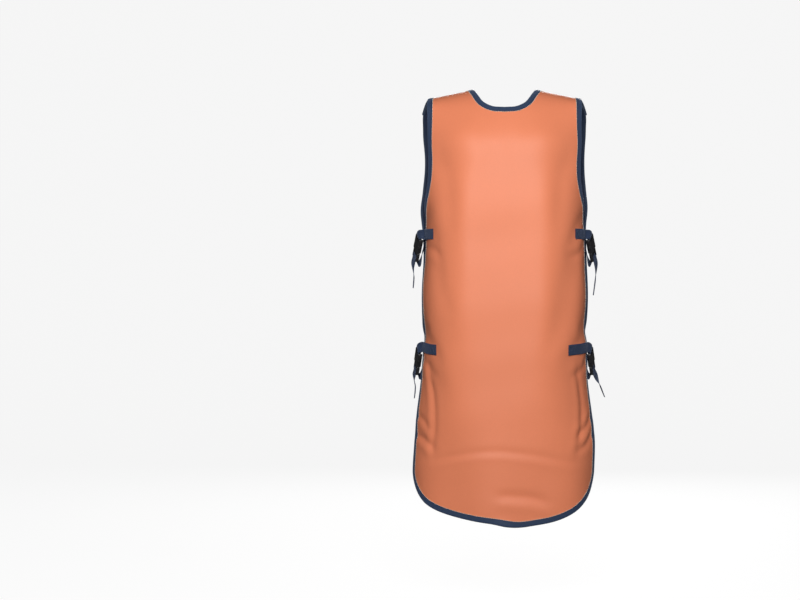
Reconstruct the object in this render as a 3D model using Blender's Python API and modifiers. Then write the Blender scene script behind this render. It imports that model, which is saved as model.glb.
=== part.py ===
"""Two-sided X-ray protective apron, as worn: front and back panels of lead vinyl between
coated covers, shoulder flaps closed with hook-and-loop tape, and four side straps with
side-release buckles.

Frame: metres, +Z up, front towards -Y, wearer's left at +X.  The origin lies midway between
the two shoulder rests, level with the crest of the shoulders at the neck.

Every cloth piece lies on one surface, cloth(s, t).  s is the distance across from the centre
line and t the distance along the cloth from the shoulder crest, positive down the front and
negative down the back.
"""
import math

import bmesh
import bpy
import numpy as np
from mathutils import Matrix, Vector
from mathutils.geometry import delaunay_2d_cdt

# ------------------------------------------------------------------ driving dimensions
CREST_RUN_FRONT = 0.106      # how slowly the cloth turns from level to hanging, front
CREST_RUN_BACK = 0.098       # the same at the back
HALF_FRONT = 0.250           # half the cut width of the front panel
HALF_BACK = 0.244            # half the cut width of the back panel
LENGTH_FRONT = 1.076         # crest to hem along the centre line
LENGTH_BACK = 1.066
HEM_ROUND_FRONT = 0.112      # height of the rounded hem corners
HEM_ROUND_BACK = 0.102
BACK_INSET = 0.0088          # back panel lies this far inside the front panel's flaps

# How far the panel's side edge has turned from the front (degrees) against distance t.
WRAP_FRONT = [(0.0, 0), (0.05, 10), (0.1, 36), (0.2, 66), (0.32, 83), (0.46, 85), (0.56, 78),
              (0.66, 83), (0.74, 81), (0.83, 69), (1.0, 65), (1.2, 64)]
WRAP_BACK = [(0.0, 0), (0.05, 8), (0.1, 18), (0.15, 27), (0.2, 44), (0.27, 60), (0.35, 66),
             (0.45, 69), (0.55, 66), (0.66, 70), (0.76, 78), (0.9, 80), (1.0, 83), (1.2, 84)]
SHOULDER_SLOPE = 0.215       # fall of the shoulder line per unit of width
SHOULDER_ROUND = 0.040
SHOULDER_FADE = 0.15
NECK_POINT = 0.079           # the neck end of the shoulder line, at the origin's height
FLAT_SHARE = 0.12            # share of the half width that stays flat at the centre
WRAP_POWER = 1.25

# Edges as (s, t) on the left half; the right half mirrors them.
ARMHOLE_FRONT = [(0.181, 0.0), (0.184, 0.10), (0.190, 0.18), (0.193, 0.24), (0.197, 0.275),
                 (0.206, 0.30), (0.222, 0.325), (0.240, 0.350), (0.250, 0.385)]
NECK_FRONT = [(0.079, 0.0), (0.066, 0.050), (0.048, 0.088), (0.028, 0.102), (0.0, 0.106)]
ARMHOLE_BACK = [(0.186, 0.014), (0.198, 0.067), (0.201, 0.12), (0.204, 0.18), (0.211, 0.24),
                (0.224, 0.29), (0.237, 0.33), (0.244, 0.37)]
NECK_BACK = [(0.086, 0.014), (0.101, 0.048), (0.089, 0.080), (0.066, 0.103), (0.035, 0.124),
             (0.0, 0.131)]
FLAP_NECK_END = (0.101, 0.048)
FLAP_ARM_END = (0.198, 0.067)
SPLIT = 0.0006               # half the gap between the front panel and a flap at the crest
CREST_CUT = 0.020            # edges that end nearer the crest than this are cut level

# Layers, measured outwards from the middle of the panel.
COVER_THICK = 0.0006
PLY_THICK = 0.0010
FRONT_COVER_AT = 0.0019
FRONT_PLY_AT = 0.0008
FRONT_HALF = FRONT_COVER_AT + COVER_THICK / 2
FLAP_CORE_THICK = 0.0026
BACK_COVER_AT = 0.0011
BACK_HALF = BACK_COVER_AT + COVER_THICK / 2

BINDING_WIDTH = 0.012
BINDING_THICK = 0.0008
BINDING_GAP = 0.0011
BINDING_OVERHANG = 0.0012

LOOP_THICK = 0.0018
HOOK_THICK = 0.0014
TAPE_GAP = 0.0003
LOOP_SHOWN = 0.030           # loop tape seen below the flap's end
LOOP_HIDDEN = 0.024

WEBBING_WIDTH = 0.025
WEBBING_THICK = 0.0012
FRONT_FALL = 0.059           # distance along the front less the height fallen, once hanging
BACK_FALL = 0.0546
STRAP_SEWN = {"upper_left": 0.190, "upper_right": 0.190, "lower_left": 0.161,
              "lower_right": 0.176}  # where each front strap's sewn end lies, in s
STRAP_LEAVES = 0.246         # where it leaves the panel
STRAP_REACH = 0.0057         # its height above the middle of the panel
STRAP_BACK_RISE = 0.034      # each back strap starts this far above its buckle's level
STRAP_BACK_SEWN = (0.2180, 0.2320)
STRAP_BACK_CLEAR = 0.0040
BAR_LOOP_RADIUS = 0.0036     # webbing's middle line round the female half's bar
STRAP_LEVELS = {"upper": 0.342, "lower": 0.614}
SIDES = {"left": 1.0, "right": -1.0}

# Side-release buckle in its own axes: x from the sewn end to the adjuster end, y across.
BUCKLE_LENGTH = 0.061
FEMALE_LENGTH = 0.037
BUCKLE_HALF_WIDTH = 0.0165
FEMALE_HALF_THICK = 0.0055
MALE_HALF_THICK = 0.0040
SLOT_HALF = 0.0135
CAVITY_HALF_WIDTH = 0.0130
CAVITY_HALF_THICK = 0.0036
BAR_HALF = 0.0015
WINDOW = (0.0135, 0.0268)
PRONG_ROOT = (0.0373, 0.0088)
PRONG_OUTLINE = [(0.0373, 0.0070), (0.0373, 0.0105), (0.0262, 0.0118), (0.0262, 0.0148),
                 (0.0190, 0.0146), (0.0140, 0.0115), (0.0140, 0.0092), (0.0255, 0.0080)]
PRONG_HALF_THICK = 0.0028

# Where each buckle hangs, on the left side: centre of its sewn-end bar, centre of its far end.
BUCKLES = {
    "upper": ((0.2030, -0.0130, -0.3500), (0.2150, 0.0195, -0.4000)),
    "lower": ((0.2040, -0.0160, -0.6220), (0.2130, 0.0180, -0.6720)),
}
# Free end of each adjusting strap below its buckle, as steps from the adjuster's end.
TAILS = {
    "upper_left": [(0.003, 0.008, -0.012), (0.001, 0.010, -0.045), (-0.004, 0.010, -0.085)],
    "upper_right": [(0.003, 0.008, -0.012), (0.000, 0.008, -0.040), (0.002, 0.010, -0.068)],
    "lower_left": [(0.005, 0.010, -0.009), (0.014, 0.016, -0.030), (0.026, 0.022, -0.060)],
    "lower_right": [(0.003, 0.009, -0.010), (-0.001, 0.012, -0.034), (0.001, 0.010, -0.062)],
}

ORANGE = (0.80, 0.27, 0.14)
NAVY = (0.035, 0.060, 0.125)
LEAD_GREY = (0.17, 0.17, 0.18)
BLACK = (0.02, 0.02, 0.022)

# Rows of interior points, closer together where the cloth turns over the shoulder.
ROWS = [0.026, 0.039, 0.052, 0.065, 0.080, 0.097, 0.118, 0.145, 0.18, 0.22, 0.27, 0.33, 0.41,
        0.50, 0.60, 0.70, 0.80, 0.90, 0.97, 1.03]
COLUMN_STEP = 0.048

GAUSS_X, GAUSS_W = np.polynomial.legendre.leggauss(16)
GAUSS_X = (GAUSS_X + 1) / 2
GAUSS_W = GAUSS_W / 2


# ------------------------------------------------------------------ the cloth's surface
def smooth_through(knots, at):
    """Cubic Hermite curve through (x, y) knots, with finite-difference slopes."""
    x, y = np.array(knots, float).T
    slope = np.gradient(y, x)
    at = np.clip(at, x[0], x[-1])
    k = np.clip(np.searchsorted(x, at) - 1, 0, len(x) - 2)
    h = x[k + 1] - x[k]
    u = (at - x[k]) / h
    return ((2 * u**3 - 3 * u**2 + 1) * y[k] + (u**3 - 2 * u**2 + u) * h * slope[k]
            + (3 * u**2 - 2 * u**3) * y[k + 1] + (u**3 - u**2) * h * slope[k + 1])


def sine_integral(x):
    """Integral of sin(u)/u from 0 to x, by its series."""
    return sum((-1) ** k * x ** (2 * k + 1) / ((2 * k + 1) * math.factorial(2 * k + 1))
               for k in range(9))


def cosine_integral(x):
    """Integral of (1 - cos(u))/u from 0 to x, by its series."""
    return sum((-1) ** (k + 1) * x ** (2 * k) / (2 * k * math.factorial(2 * k))
               for k in range(1, 9))


def crest_profile(t, turn):
    """Distance out and down after t of cloth whose slope is 90 deg * (1 - exp(-t/turn))."""
    quarter = math.pi / 2
    left = quarter * np.exp(-t / turn)
    out = turn * (sine_integral(quarter) - sine_integral(left))
    down = t - turn * (cosine_integral(quarter) - cosine_integral(left))
    return out, down


def wrap(s, angle, half):
    """Sideways and inward distance after s of cloth that turns to angle at half."""
    share = np.clip(np.multiply.outer(s, GAUSS_X) / half[..., None] - FLAT_SHARE, 0, None)
    turned = angle[..., None] * (share / (1 - FLAT_SHARE)) ** WRAP_POWER
    return s * (GAUSS_W * np.cos(turned)).sum(-1), s * (GAUSS_W * np.sin(turned)).sum(-1)


def middle_surface(s, t):
    """The cloth's middle surface before any offset."""
    front = t >= 0
    a = np.abs(t)
    out_f, down_f = crest_profile(a, CREST_RUN_FRONT)
    out_b, down_b = crest_profile(a, CREST_RUN_BACK)
    angle = np.radians(np.where(front, smooth_through(WRAP_FRONT, a), smooth_through(WRAP_BACK, a)))
    half = np.where(front, HALF_FRONT, HALF_BACK)
    x, inset = wrap(np.abs(s), angle, half)
    y = np.where(front, inset - out_f, out_b - inset)
    rise = np.hypot(s, SHOULDER_ROUND) - math.hypot(NECK_POINT, SHOULDER_ROUND)
    drop = SHOULDER_SLOPE * rise * np.exp(-((a / SHOULDER_FADE) ** 2))
    z = -np.where(front, down_f, down_b) - drop
    return np.stack([np.sign(s) * x, y, z], -1)


def cloth(s, t, offset=0.0):
    """Point on the cloth at (s, t), offset outwards along the surface normal."""
    s, t = np.broadcast_arrays(np.asarray(s, float), np.asarray(t, float))
    step = 1e-4
    across = middle_surface(s + step, t) - middle_surface(s - step, t)
    along = middle_surface(s, t + step) - middle_surface(s, t - step)
    normal = -np.cross(across, along)
    normal /= np.linalg.norm(normal, axis=-1, keepdims=True)
    return middle_surface(s, t) + normal * np.asarray(offset, float)[..., None]


# ------------------------------------------------------------------ outlines in (s, t)
def sample(knots, spacing):
    """Smooth curve through (s, t) knots, at even steps of about the given spacing."""
    pts = np.array(knots, float)
    length = np.concatenate([[0], np.cumsum(np.linalg.norm(np.diff(pts, axis=0), axis=1))])
    count = max(2, int(round(length[-1] / spacing)) + 1)
    at = np.linspace(0, length[-1], count)
    return np.stack([smooth_through(np.stack([length, pts[:, k]], 1), at) for k in (0, 1)], 1)


def hem_corner(half, start, height, count=10):
    """Rounded corner and hem: (s/half)^2.6 + ((t - start)/height)^(1/0.6) = 1."""
    turn = np.linspace(0, math.pi / 2, count)
    return np.stack([half * np.cos(turn) ** (2 / 2.6), start + height * np.sin(turn) ** 1.2], 1)


def mirrored(points):
    return points[::-1] * np.array([-1.0, 1.0])


def join(*runs):
    """Runs of points end to end, with repeated points dropped."""
    points = np.concatenate(runs)
    keep = np.concatenate([[True], np.linalg.norm(np.diff(points, axis=0), axis=1) > 1e-6])
    return points[keep]


def side_edge(armhole, half, corner_start, corner_height):
    """Left edge from the shoulder crest down to the hem's centre."""
    straight = np.array([(half, t) for t in np.linspace(armhole[-1][1], corner_start, 12)])
    run = sample(armhole, 0.028)
    crest = (run[:1] + run[1:2]) / 2
    return join(run[:1], crest, run[1:], straight, hem_corner(half, corner_start, corner_height))


def inward(points, closed):
    """Mitred unit vectors in the (s, t) plane, on the side of the run where the cloth lies."""
    if closed:
        ahead = np.roll(points, -1, 0) - points
        behind = points - np.roll(points, 1, 0)
    else:
        ahead = np.diff(points, axis=0, append=points[-1:] * 2 - points[-2:-1])
        behind = np.diff(points, axis=0, prepend=points[:1] * 2 - points[1:2])
    units = [d / np.linalg.norm(d, axis=1, keepdims=True) for d in (ahead, behind)]
    normals = [np.stack([-d[:, 1], d[:, 0]], 1) for d in units]
    total = normals[0] + normals[1]
    total /= np.linalg.norm(total, axis=1, keepdims=True)
    miter = np.clip((total * normals[0]).sum(1), 0.5, 1.0)[:, None]
    return total / miter


def inside(points, polygon):
    """Which points lie in the polygon, by the crossing rule."""
    x, y = points.T
    result = np.zeros(len(points), bool)
    for (x0, y0), (x1, y1) in zip(polygon, np.roll(polygon, -1, 0)):
        if y0 != y1:
            crosses = (y0 > y) != (y1 > y)
            result ^= crosses & (x < (x1 - x0) * (y - y0) / (y1 - y0) + x0)
    return result


def pattern(outline, direction, rows, inner_step, columns=COLUMN_STEP):
    """Triangulated cut piece: outline, a ring one binding width inside it, and lattice points."""
    ring = outline + inward(outline, True) * BINDING_WIDTH * direction
    half = np.abs(outline[:, 0]).max()
    across = np.arange(-math.floor(half / columns), math.floor(half / columns) + 1) * columns
    lattice = np.array([(s, t) for t in rows for s in across])
    if len(lattice):
        near = np.min(np.linalg.norm(lattice[:, None] - ring[None], axis=2), axis=1)
        lattice = lattice[inside(lattice, ring) & (near > inner_step)]
    points = np.concatenate([outline, ring, lattice.reshape(-1, 2)])
    count = len(outline)
    edges = [(k, (k + 1) % count) for k in range(count)]
    edges += [(count + k, count + (k + 1) % count) for k in range(count)]
    flat = [Vector((s, t * 0.6)) for s, t in points]
    verts, _, faces, *_ = delaunay_2d_cdt(flat, edges, [], 1, 1e-7)
    found = np.array([(v.x, v.y / 0.6) for v in verts])
    return found, [tuple(f) for f in faces]


# ------------------------------------------------------------------ Blender helpers
def clear_scene():
    for obj in list(bpy.data.objects):
        bpy.data.objects.remove(obj, do_unlink=True)


def material(name, colour, roughness, metallic=0.0):
    mat = bpy.data.materials.new(name)
    mat.use_nodes = True
    shader = mat.node_tree.nodes["Principled BSDF"]
    shader.inputs["Base Color"].default_value = (*colour, 1.0)
    shader.inputs["Roughness"].default_value = roughness
    shader.inputs["Metallic"].default_value = metallic
    return mat


def new_object(name, verts, faces, mat_spec, collection, matrix=None):
    mesh = bpy.data.meshes.new(name)
    mesh.from_pydata([tuple(map(float, v)) for v in verts], [], faces)
    obj = bpy.data.objects.new(name, mesh)
    collection.objects.link(obj)
    mesh.materials.append(material(name, *mat_spec))
    if matrix is not None:
        obj.matrix_world = matrix
    return obj


def thicken(obj, thickness):
    """Give an open surface an even wall, half on each side."""
    bm = bmesh.new()
    bm.from_mesh(obj.data)
    bmesh.ops.recalc_face_normals(bm, faces=bm.faces)
    bm.to_mesh(obj.data)
    bm.free()
    solid = obj.modifiers.new("wall", "SOLIDIFY")
    solid.thickness = thickness
    solid.offset = 0.0
    solid.use_even_offset = True


def grid_faces(rows, columns):
    """Quads of a rows x columns grid of points, made with Blender's own grid."""
    bm = bmesh.new()
    bmesh.ops.create_grid(bm, x_segments=columns - 1, y_segments=rows - 1, size=1)
    faces = [tuple(v.index for v in f.verts) for f in bm.faces]
    bm.free()
    return faces


def sheet(name, cut, offset, thickness, spec, collection, turn_back=1.0):
    """One flat-cut layer laid on the cloth's surface."""
    points, faces = cut
    verts = cloth(points[:, 0], points[:, 1] * turn_back, offset)
    obj = new_object(name, verts, faces, spec, collection)
    thicken(obj, thickness)
    return obj


def binding(name, edge, direction, reach, offset, spec, collection, turn_back=1.0):
    """Tape folded over an open run of edge: a U section carried along it, its ends cut level
    where they meet the shoulder crest."""
    towards = inward(edge, False)
    for end in (0, -1):
        if edge[end, 1] < CREST_CUT:
            towards[end] = (np.sign(towards[end, 0]), 0.0)
    inner = edge + towards * BINDING_WIDTH * direction
    outer = edge - towards * BINDING_OVERHANG * direction
    section = [(inner, -reach), (outer, -reach), (outer, reach), (inner, reach)]
    columns = [cloth(p[:, 0], p[:, 1] * turn_back, offset + level) for p, level in section]
    verts = np.stack(columns, 1).reshape(-1, 3)
    obj = new_object(name, verts, grid_faces(len(edge), len(section)), spec, collection)
    thicken(obj, BINDING_THICK)
    return obj


def patch(name, corners, rows, columns, offset, thickness, spec, collection):
    """Four-cornered tape laid on the back of the shoulder, straight-sided in (s, t)."""
    v, u = np.meshgrid(np.linspace(0, 1, rows), np.linspace(0, 1, columns), indexing="ij")
    a, b, c, d = [np.array(p) for p in corners]
    u, v = u[..., None], v[..., None]
    points = ((1 - u) * (1 - v) * a + u * (1 - v) * b + u * v * c + (1 - u) * v * d).reshape(-1, 2)
    verts = cloth(points[:, 0], -points[:, 1], offset)
    obj = new_object(name, verts, grid_faces(rows, columns), spec, collection)
    thicken(obj, thickness)
    return obj


def ribbon(name, path, across, thickness, spec, collection):
    """Webbing: a flat strip along a path, with its width direction at each point."""
    path, across = np.array(path), np.array(across)
    across /= np.linalg.norm(across, axis=1, keepdims=True)
    sides = [path + across * WEBBING_WIDTH * k for k in (-0.5, 0.5)]
    verts = np.stack(sides, 1).reshape(-1, 3)
    obj = new_object(name, verts, grid_faces(len(path), 2), spec, collection)
    thicken(obj, thickness)
    return obj


def smooth_path(points, steps):
    """Points along a smooth curve through 3-D control points, at even steps."""
    pts = np.array(points, float)
    length = np.concatenate([[0], np.cumsum(np.linalg.norm(np.diff(pts, axis=0), axis=1))])
    at = np.linspace(0, length[-1], steps)
    return np.stack([smooth_through(np.stack([length, pts[:, k]], 1), at)
                     for k in range(pts.shape[1])], 1)


def box(name, low, high, collection, spec=None, matrix=None, bevel=0.0):
    """Axis-aligned block between two corners, with its edges rounded if asked."""
    low, high = Vector(low), Vector(high)
    bm = bmesh.new()
    bmesh.ops.create_cube(bm, size=1.0)
    size = high - low
    bmesh.ops.scale(bm, vec=size, verts=bm.verts)
    bmesh.ops.translate(bm, vec=(low + high) / 2, verts=bm.verts)
    if bevel:
        bmesh.ops.bevel(bm, geom=bm.edges[:], offset=bevel, segments=1, affect="EDGES")
    mesh = bpy.data.meshes.new(name)
    bm.to_mesh(mesh)
    bm.free()
    obj = bpy.data.objects.new(name, mesh)
    collection.objects.link(obj)
    if spec:
        mesh.materials.append(material(name, *spec))
    if matrix is not None:
        obj.matrix_world = matrix
    return obj


def combine(obj, tools, operation):
    """Leave Boolean modifiers on obj; its tools are hidden guides."""
    for tool in tools:
        tool.display_type = "WIRE"
        tool.hide_render = True
        boolean = obj.modifiers.new(tool.name, "BOOLEAN")
        boolean.operation = operation
        boolean.object = tool


# ------------------------------------------------------------------ panels
def panel_edges(armhole, neck_knots, half, length, corner):
    """Outer edge from the left crest round the hem to the right, and the neckline from the
    right crest to the left."""
    left = side_edge(armhole, half, length - corner, corner)
    neck = sample(neck_knots, 0.020)
    edge = join(left, mirrored(left))
    neckline = join(neck * np.array([-1.0, 1.0]), neck[::-1])
    return edge, neckline


def shoulder_line(start, end, count=4):
    """Points between the ends of a shoulder edge, without the ends."""
    share = np.linspace(0, 1, count + 2)[1:-1, None]
    return np.array(start) * (1 - share) + np.array(end) * share


def panel_outline(edge, neckline):
    return np.concatenate([edge, shoulder_line(edge[-1], neckline[0]), neckline,
                           shoulder_line(neckline[-1], edge[0])])


def build_front(collection):
    orange, navy, lead = (ORANGE, 0.42), (NAVY, 0.75), (LEAD_GREY, 0.6)
    edge, neckline = panel_edges(ARMHOLE_FRONT, NECK_FRONT, HALF_FRONT, LENGTH_FRONT,
                                 HEM_ROUND_FRONT)
    edge[:, 1] = np.maximum(edge[:, 1], SPLIT)
    neckline[:, 1] = np.maximum(neckline[:, 1], SPLIT)
    cut = pattern(panel_outline(edge, neckline), 1.0, ROWS, 0.013)
    sheet("front_cover", cut, FRONT_COVER_AT, COVER_THICK, orange, collection)
    sheet("front_lead_ply_outer", cut, FRONT_PLY_AT, PLY_THICK, lead, collection)
    sheet("front_lead_ply_inner", cut, -FRONT_PLY_AT, PLY_THICK, lead, collection)
    sheet("front_lining", cut, -FRONT_COVER_AT, COVER_THICK, orange, collection)
    reach = FRONT_HALF + BINDING_GAP + BINDING_THICK / 2
    binding("front_edge_binding", edge, 1.0, reach, 0.0, navy, collection)
    binding("front_neck_binding", neckline, 1.0, reach, 0.0, navy, collection)


def build_back(collection):
    orange, navy, lead = (ORANGE, 0.42), (NAVY, 0.75), (LEAD_GREY, 0.6)
    edge, neckline = panel_edges(ARMHOLE_BACK, NECK_BACK, HALF_BACK, LENGTH_BACK, HEM_ROUND_BACK)
    cut = pattern(panel_outline(edge, neckline), 1.0, ROWS, 0.013)
    sheet("back_cover", cut, BACK_COVER_AT - BACK_INSET, COVER_THICK, orange, collection, -1.0)
    sheet("back_lead_core", cut, -BACK_INSET, PLY_THICK, lead, collection, -1.0)
    sheet("back_lining", cut, -BACK_COVER_AT - BACK_INSET, COVER_THICK, orange, collection, -1.0)
    reach = BACK_HALF + BINDING_GAP + BINDING_THICK / 2
    binding("back_edge_binding", edge, 1.0, reach, -BACK_INSET, navy, collection, -1.0)
    binding("back_neck_binding", neckline, 1.0, reach, -BACK_INSET, navy, collection, -1.0)


def build_shoulder(side, sign, collection):
    """One shoulder flap of the front panel, with its hook tape, and the loop tape under it."""
    orange, navy, lead = (ORANGE, 0.42), (NAVY, 0.75), (LEAD_GREY, 0.6)
    name = f"{side}_flap_"
    mirror = np.array([sign, 1.0])
    arm = sample([(0.181, SPLIT), (0.190, 0.034), FLAP_ARM_END], 0.012) * mirror
    neck = sample([(0.079, SPLIT), (0.092, 0.024), FLAP_NECK_END], 0.012) * mirror
    end = shoulder_line(arm[-1], neck[-1], 4)
    crest = shoulder_line(neck[0], arm[0], 4)
    outline = np.concatenate([arm, end, neck[::-1], crest])
    cut = pattern(outline, sign, [0.012 * k for k in range(1, 6)], 0.008, 0.021)
    sheet(name + "cover", cut, FRONT_COVER_AT, COVER_THICK, orange, collection, -1.0)
    sheet(name + "lead_core", cut, 0.0, FLAP_CORE_THICK, lead, collection, -1.0)
    sheet(name + "lining", cut, -FRONT_COVER_AT, COVER_THICK, orange, collection, -1.0)
    reach = FRONT_HALF + BINDING_GAP + BINDING_THICK / 2
    binding(name + "armhole_binding", arm, sign, reach, 0.0, navy, collection, -1.0)
    binding(name + "neck_binding", neck[::-1], sign, reach, 0.0, navy, collection, -1.0)
    clear = BINDING_WIDTH + 0.002
    neck_s, arm_s = FLAP_NECK_END[0] + clear, FLAP_ARM_END[0] - clear
    neck_t, arm_t = FLAP_NECK_END[1], FLAP_ARM_END[1]
    hook = [(neck_s - 0.004, neck_t - LOOP_HIDDEN), (arm_s - 0.013, arm_t - LOOP_HIDDEN),
            (arm_s - 0.003, arm_t - 0.003), (neck_s + 0.002, neck_t - 0.001)]
    loop = [(neck_s + 0.001, neck_t - LOOP_HIDDEN), (arm_s - 0.009, arm_t - LOOP_HIDDEN),
            (arm_s + 0.001, arm_t + LOOP_SHOWN), (neck_s + 0.001, neck_t + LOOP_SHOWN)]
    hook_at = -(FRONT_HALF + 4 * TAPE_GAP + HOOK_THICK / 2)
    loop_at = -BACK_INSET + BACK_HALF + TAPE_GAP + LOOP_THICK / 2
    patch(name + "hook_tape", np.array(hook) * mirror, 3, 7, hook_at, HOOK_THICK, navy, collection)
    patch(f"{side}_shoulder_loop_tape", np.array(loop) * mirror, 6, 7, loop_at, LOOP_THICK, navy,
          collection)


# ------------------------------------------------------------------ straps and buckles
def buckle_frame(level, sign):
    """Matrix that carries the buckle's own axes to where it hangs."""
    near, far = [Vector((p[0] * sign, p[1], p[2])) for p in BUCKLES[level]]
    along = (far - near).normalized()
    up = Vector((0, 0, 1))
    across = (up - along * up.dot(along)).normalized()
    face = along.cross(across)
    if face.x * sign < 0:
        across = -across
        face = -face
    return Matrix.Translation(near) @ Matrix((along, across, face)).transposed().to_4x4()


def build_female(name, frame, collection, cutters):
    body = box(name, (-BAR_HALF, -BUCKLE_HALF_WIDTH, -FEMALE_HALF_THICK),
               (FEMALE_LENGTH, BUCKLE_HALF_WIDTH, FEMALE_HALF_THICK), collection, (BLACK, 0.35),
               frame, 0.0014)
    big = 0.02
    tools = [
        box(name + "_slot", (BAR_HALF, -SLOT_HALF, -big), (0.0075, SLOT_HALF, big), cutters,
            matrix=frame),
        box(name + "_bar_top", (-big, -SLOT_HALF, 0.0020), (0.0075, SLOT_HALF, big), cutters,
            matrix=frame),
        box(name + "_bar_bottom", (-big, -SLOT_HALF, -big), (0.0075, SLOT_HALF, -0.0020), cutters,
            matrix=frame),
        box(name + "_socket", (0.0110, -CAVITY_HALF_WIDTH, -CAVITY_HALF_THICK),
            (0.06, CAVITY_HALF_WIDTH, CAVITY_HALF_THICK), cutters, matrix=frame),
        box(name + "_windows", (WINDOW[0], -big, -CAVITY_HALF_THICK + 0.0002),
            (WINDOW[1], big, CAVITY_HALF_THICK - 0.0002), cutters, matrix=frame),
    ]
    combine(body, tools, "DIFFERENCE")


def build_male(name, frame, collection, cutters):
    start = FEMALE_LENGTH + 0.0006
    mouth = frame @ Matrix.Translation((FEMALE_LENGTH, 0, 0))
    shift = -FEMALE_LENGTH
    body = box(name, (start + shift, -BUCKLE_HALF_WIDTH, -MALE_HALF_THICK),
               (BUCKLE_LENGTH + shift, BUCKLE_HALF_WIDTH, MALE_HALF_THICK), collection,
               (BLACK, 0.35), mouth, 0.0012)
    big = 0.02
    tongue = box(name + "_tongue", (0.018 + shift, -0.003, -0.002), (0.040 + shift, 0.003, 0.002),
                 cutters, matrix=mouth)
    tools = [
        box(name + "_front_slot", (0.0430 + shift, -SLOT_HALF, -big),
            (0.0480 + shift, SLOT_HALF, big), cutters, matrix=mouth),
        box(name + "_rear_slot", (0.0515 + shift, -SLOT_HALF, -big),
            (0.0565 + shift, SLOT_HALF, big), cutters, matrix=mouth),
        box(name + "_bar_top", (0.0430 + shift, -SLOT_HALF, 0.0016),
            (0.08 + shift, SLOT_HALF, big), cutters, matrix=mouth),
        box(name + "_bar_bottom", (0.0430 + shift, -SLOT_HALF, -big),
            (0.08 + shift, SLOT_HALF, -0.0016), cutters, matrix=mouth),
    ]
    combine(body, [tongue], "UNION")
    combine(body, tools, "DIFFERENCE")


def build_prong(name, frame, direction, collection):
    """Spring arm of the male half, drawn from its root, which is its joint's axis."""
    root = Vector((PRONG_ROOT[0], PRONG_ROOT[1] * direction, 0))
    bm = bmesh.new()
    ring = [bm.verts.new((x - root.x, y * direction - root.y, -PRONG_HALF_THICK))
            for x, y in PRONG_OUTLINE]
    face = bm.faces.new(ring)
    extruded = bmesh.ops.extrude_face_region(bm, geom=[face])
    moved = [g for g in extruded["geom"] if isinstance(g, bmesh.types.BMVert)]
    bmesh.ops.translate(bm, vec=(0, 0, 2 * PRONG_HALF_THICK), verts=moved)
    bmesh.ops.recalc_face_normals(bm, faces=bm.faces)
    mesh = bpy.data.meshes.new(name)
    bm.to_mesh(mesh)
    bm.free()
    mesh.materials.append(material(name, BLACK, 0.35))
    obj = bpy.data.objects.new(name, mesh)
    collection.objects.link(obj)
    obj.matrix_world = frame @ Matrix.Translation(root)


def placed(frame, points):
    return [np.array(frame @ Vector(p)) for p in points]


def build_front_strap(name, level, side, sign, frame, collection):
    """Short webbing sewn to the front panel and looped round the female half's bar."""
    t = STRAP_LEVELS[level] + FRONT_FALL
    s = np.linspace(STRAP_SEWN[f"{level}_{side}"], STRAP_LEAVES, 7) * sign
    on_panel = cloth(s, np.full(7, t), STRAP_REACH)
    radius = BAR_LOOP_RADIUS
    turn = np.linspace(-0.5 * math.pi, 0.5 * math.pi, 7)
    around = [(radius * math.cos(a), 0, -radius * math.sin(a)) for a in turn]
    bar_side = placed(frame, [(-0.006, 0, radius + 0.0004), *around, (-0.007, 0, -radius)])
    lead_in = smooth_path([on_panel[-2], on_panel[-1], bar_side[0], bar_side[1]], 8)
    path = list(on_panel[:-1]) + list(lead_in[3:]) + bar_side[2:]
    width = np.array(frame.to_3x3() @ Vector((0, 1, 0)))
    upright = np.array([0, 0, 1.0]) * np.sign(width[2])
    share = np.clip((np.arange(len(path)) - 4) / 6.0, 0, 1)[:, None]
    ribbon(name, path, upright * (1 - share) + width * share, WEBBING_THICK, (NAVY, 0.8),
           collection)


def build_back_strap(name, level, side, sign, frame, collection):
    """Long webbing from inside the back panel's edge, through the adjuster, to its free end."""
    t = STRAP_LEVELS[level] + BACK_FALL - STRAP_BACK_RISE
    inner = -BACK_INSET - BACK_HALF - STRAP_BACK_CLEAR
    start = cloth(np.array(STRAP_BACK_SEWN) * sign, np.array([-t, -t]), inner)
    mirror = np.array([sign, 1.0, 1.0])
    level_z = -STRAP_LEVELS[level]
    drop = np.array([(0.1870, 0.0150, level_z + 0.030), (0.1880, 0.0070, level_z + 0.014),
                     (0.1900, 0.0050, level_z - 0.012), (0.1965, 0.0070, level_z - 0.042)]) * mirror
    under = placed(frame, [(0.076, 0, -0.0085), (0.071, 0, -0.0034), (0.062, 0, -0.0028),
                           (0.0535, 0, -0.0028), (0.0475, 0, -0.0026)])
    over = placed(frame, [(0.0455, 0, 0.0), (0.0475, 0, 0.0026), (0.0535, 0, 0.0028),
                          (0.0630, 0, 0.0030)])
    far = np.array(frame @ Vector((BUCKLE_LENGTH + 0.004, 0, 0.0032)))
    tail = [far + np.array(p) * mirror for p in TAILS[f"{level}_{side}"]]
    points = [*start, *drop, *under, *over, *tail]
    width = np.array(frame.to_3x3() @ Vector((0, 1, 0)))
    upright = np.array([0, 0, 1.0]) * np.sign(width[2])
    level_wide = np.array([0, 1.0, 0]) * np.sign(width[1])
    widths = [upright, upright, upright, upright * 0.6 + level_wide * 0.6, level_wide, level_wide]
    widths += [width] * (len(under) + len(over)) + [width, level_wide, level_wide]
    both = np.concatenate([np.array(points), np.array(widths)], 1)
    length = np.concatenate([[0], np.cumsum(np.linalg.norm(np.diff(both[:, :3], axis=0), axis=1))])
    dense = np.sort(np.concatenate([length, (length[1:] + length[:-1]) / 2]))
    run = np.stack([smooth_through(np.stack([length, both[:, k]], 1), dense) for k in range(6)], 1)
    ribbon(name, run[:, :3], run[:, 3:], WEBBING_THICK, (NAVY, 0.8), collection)


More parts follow.
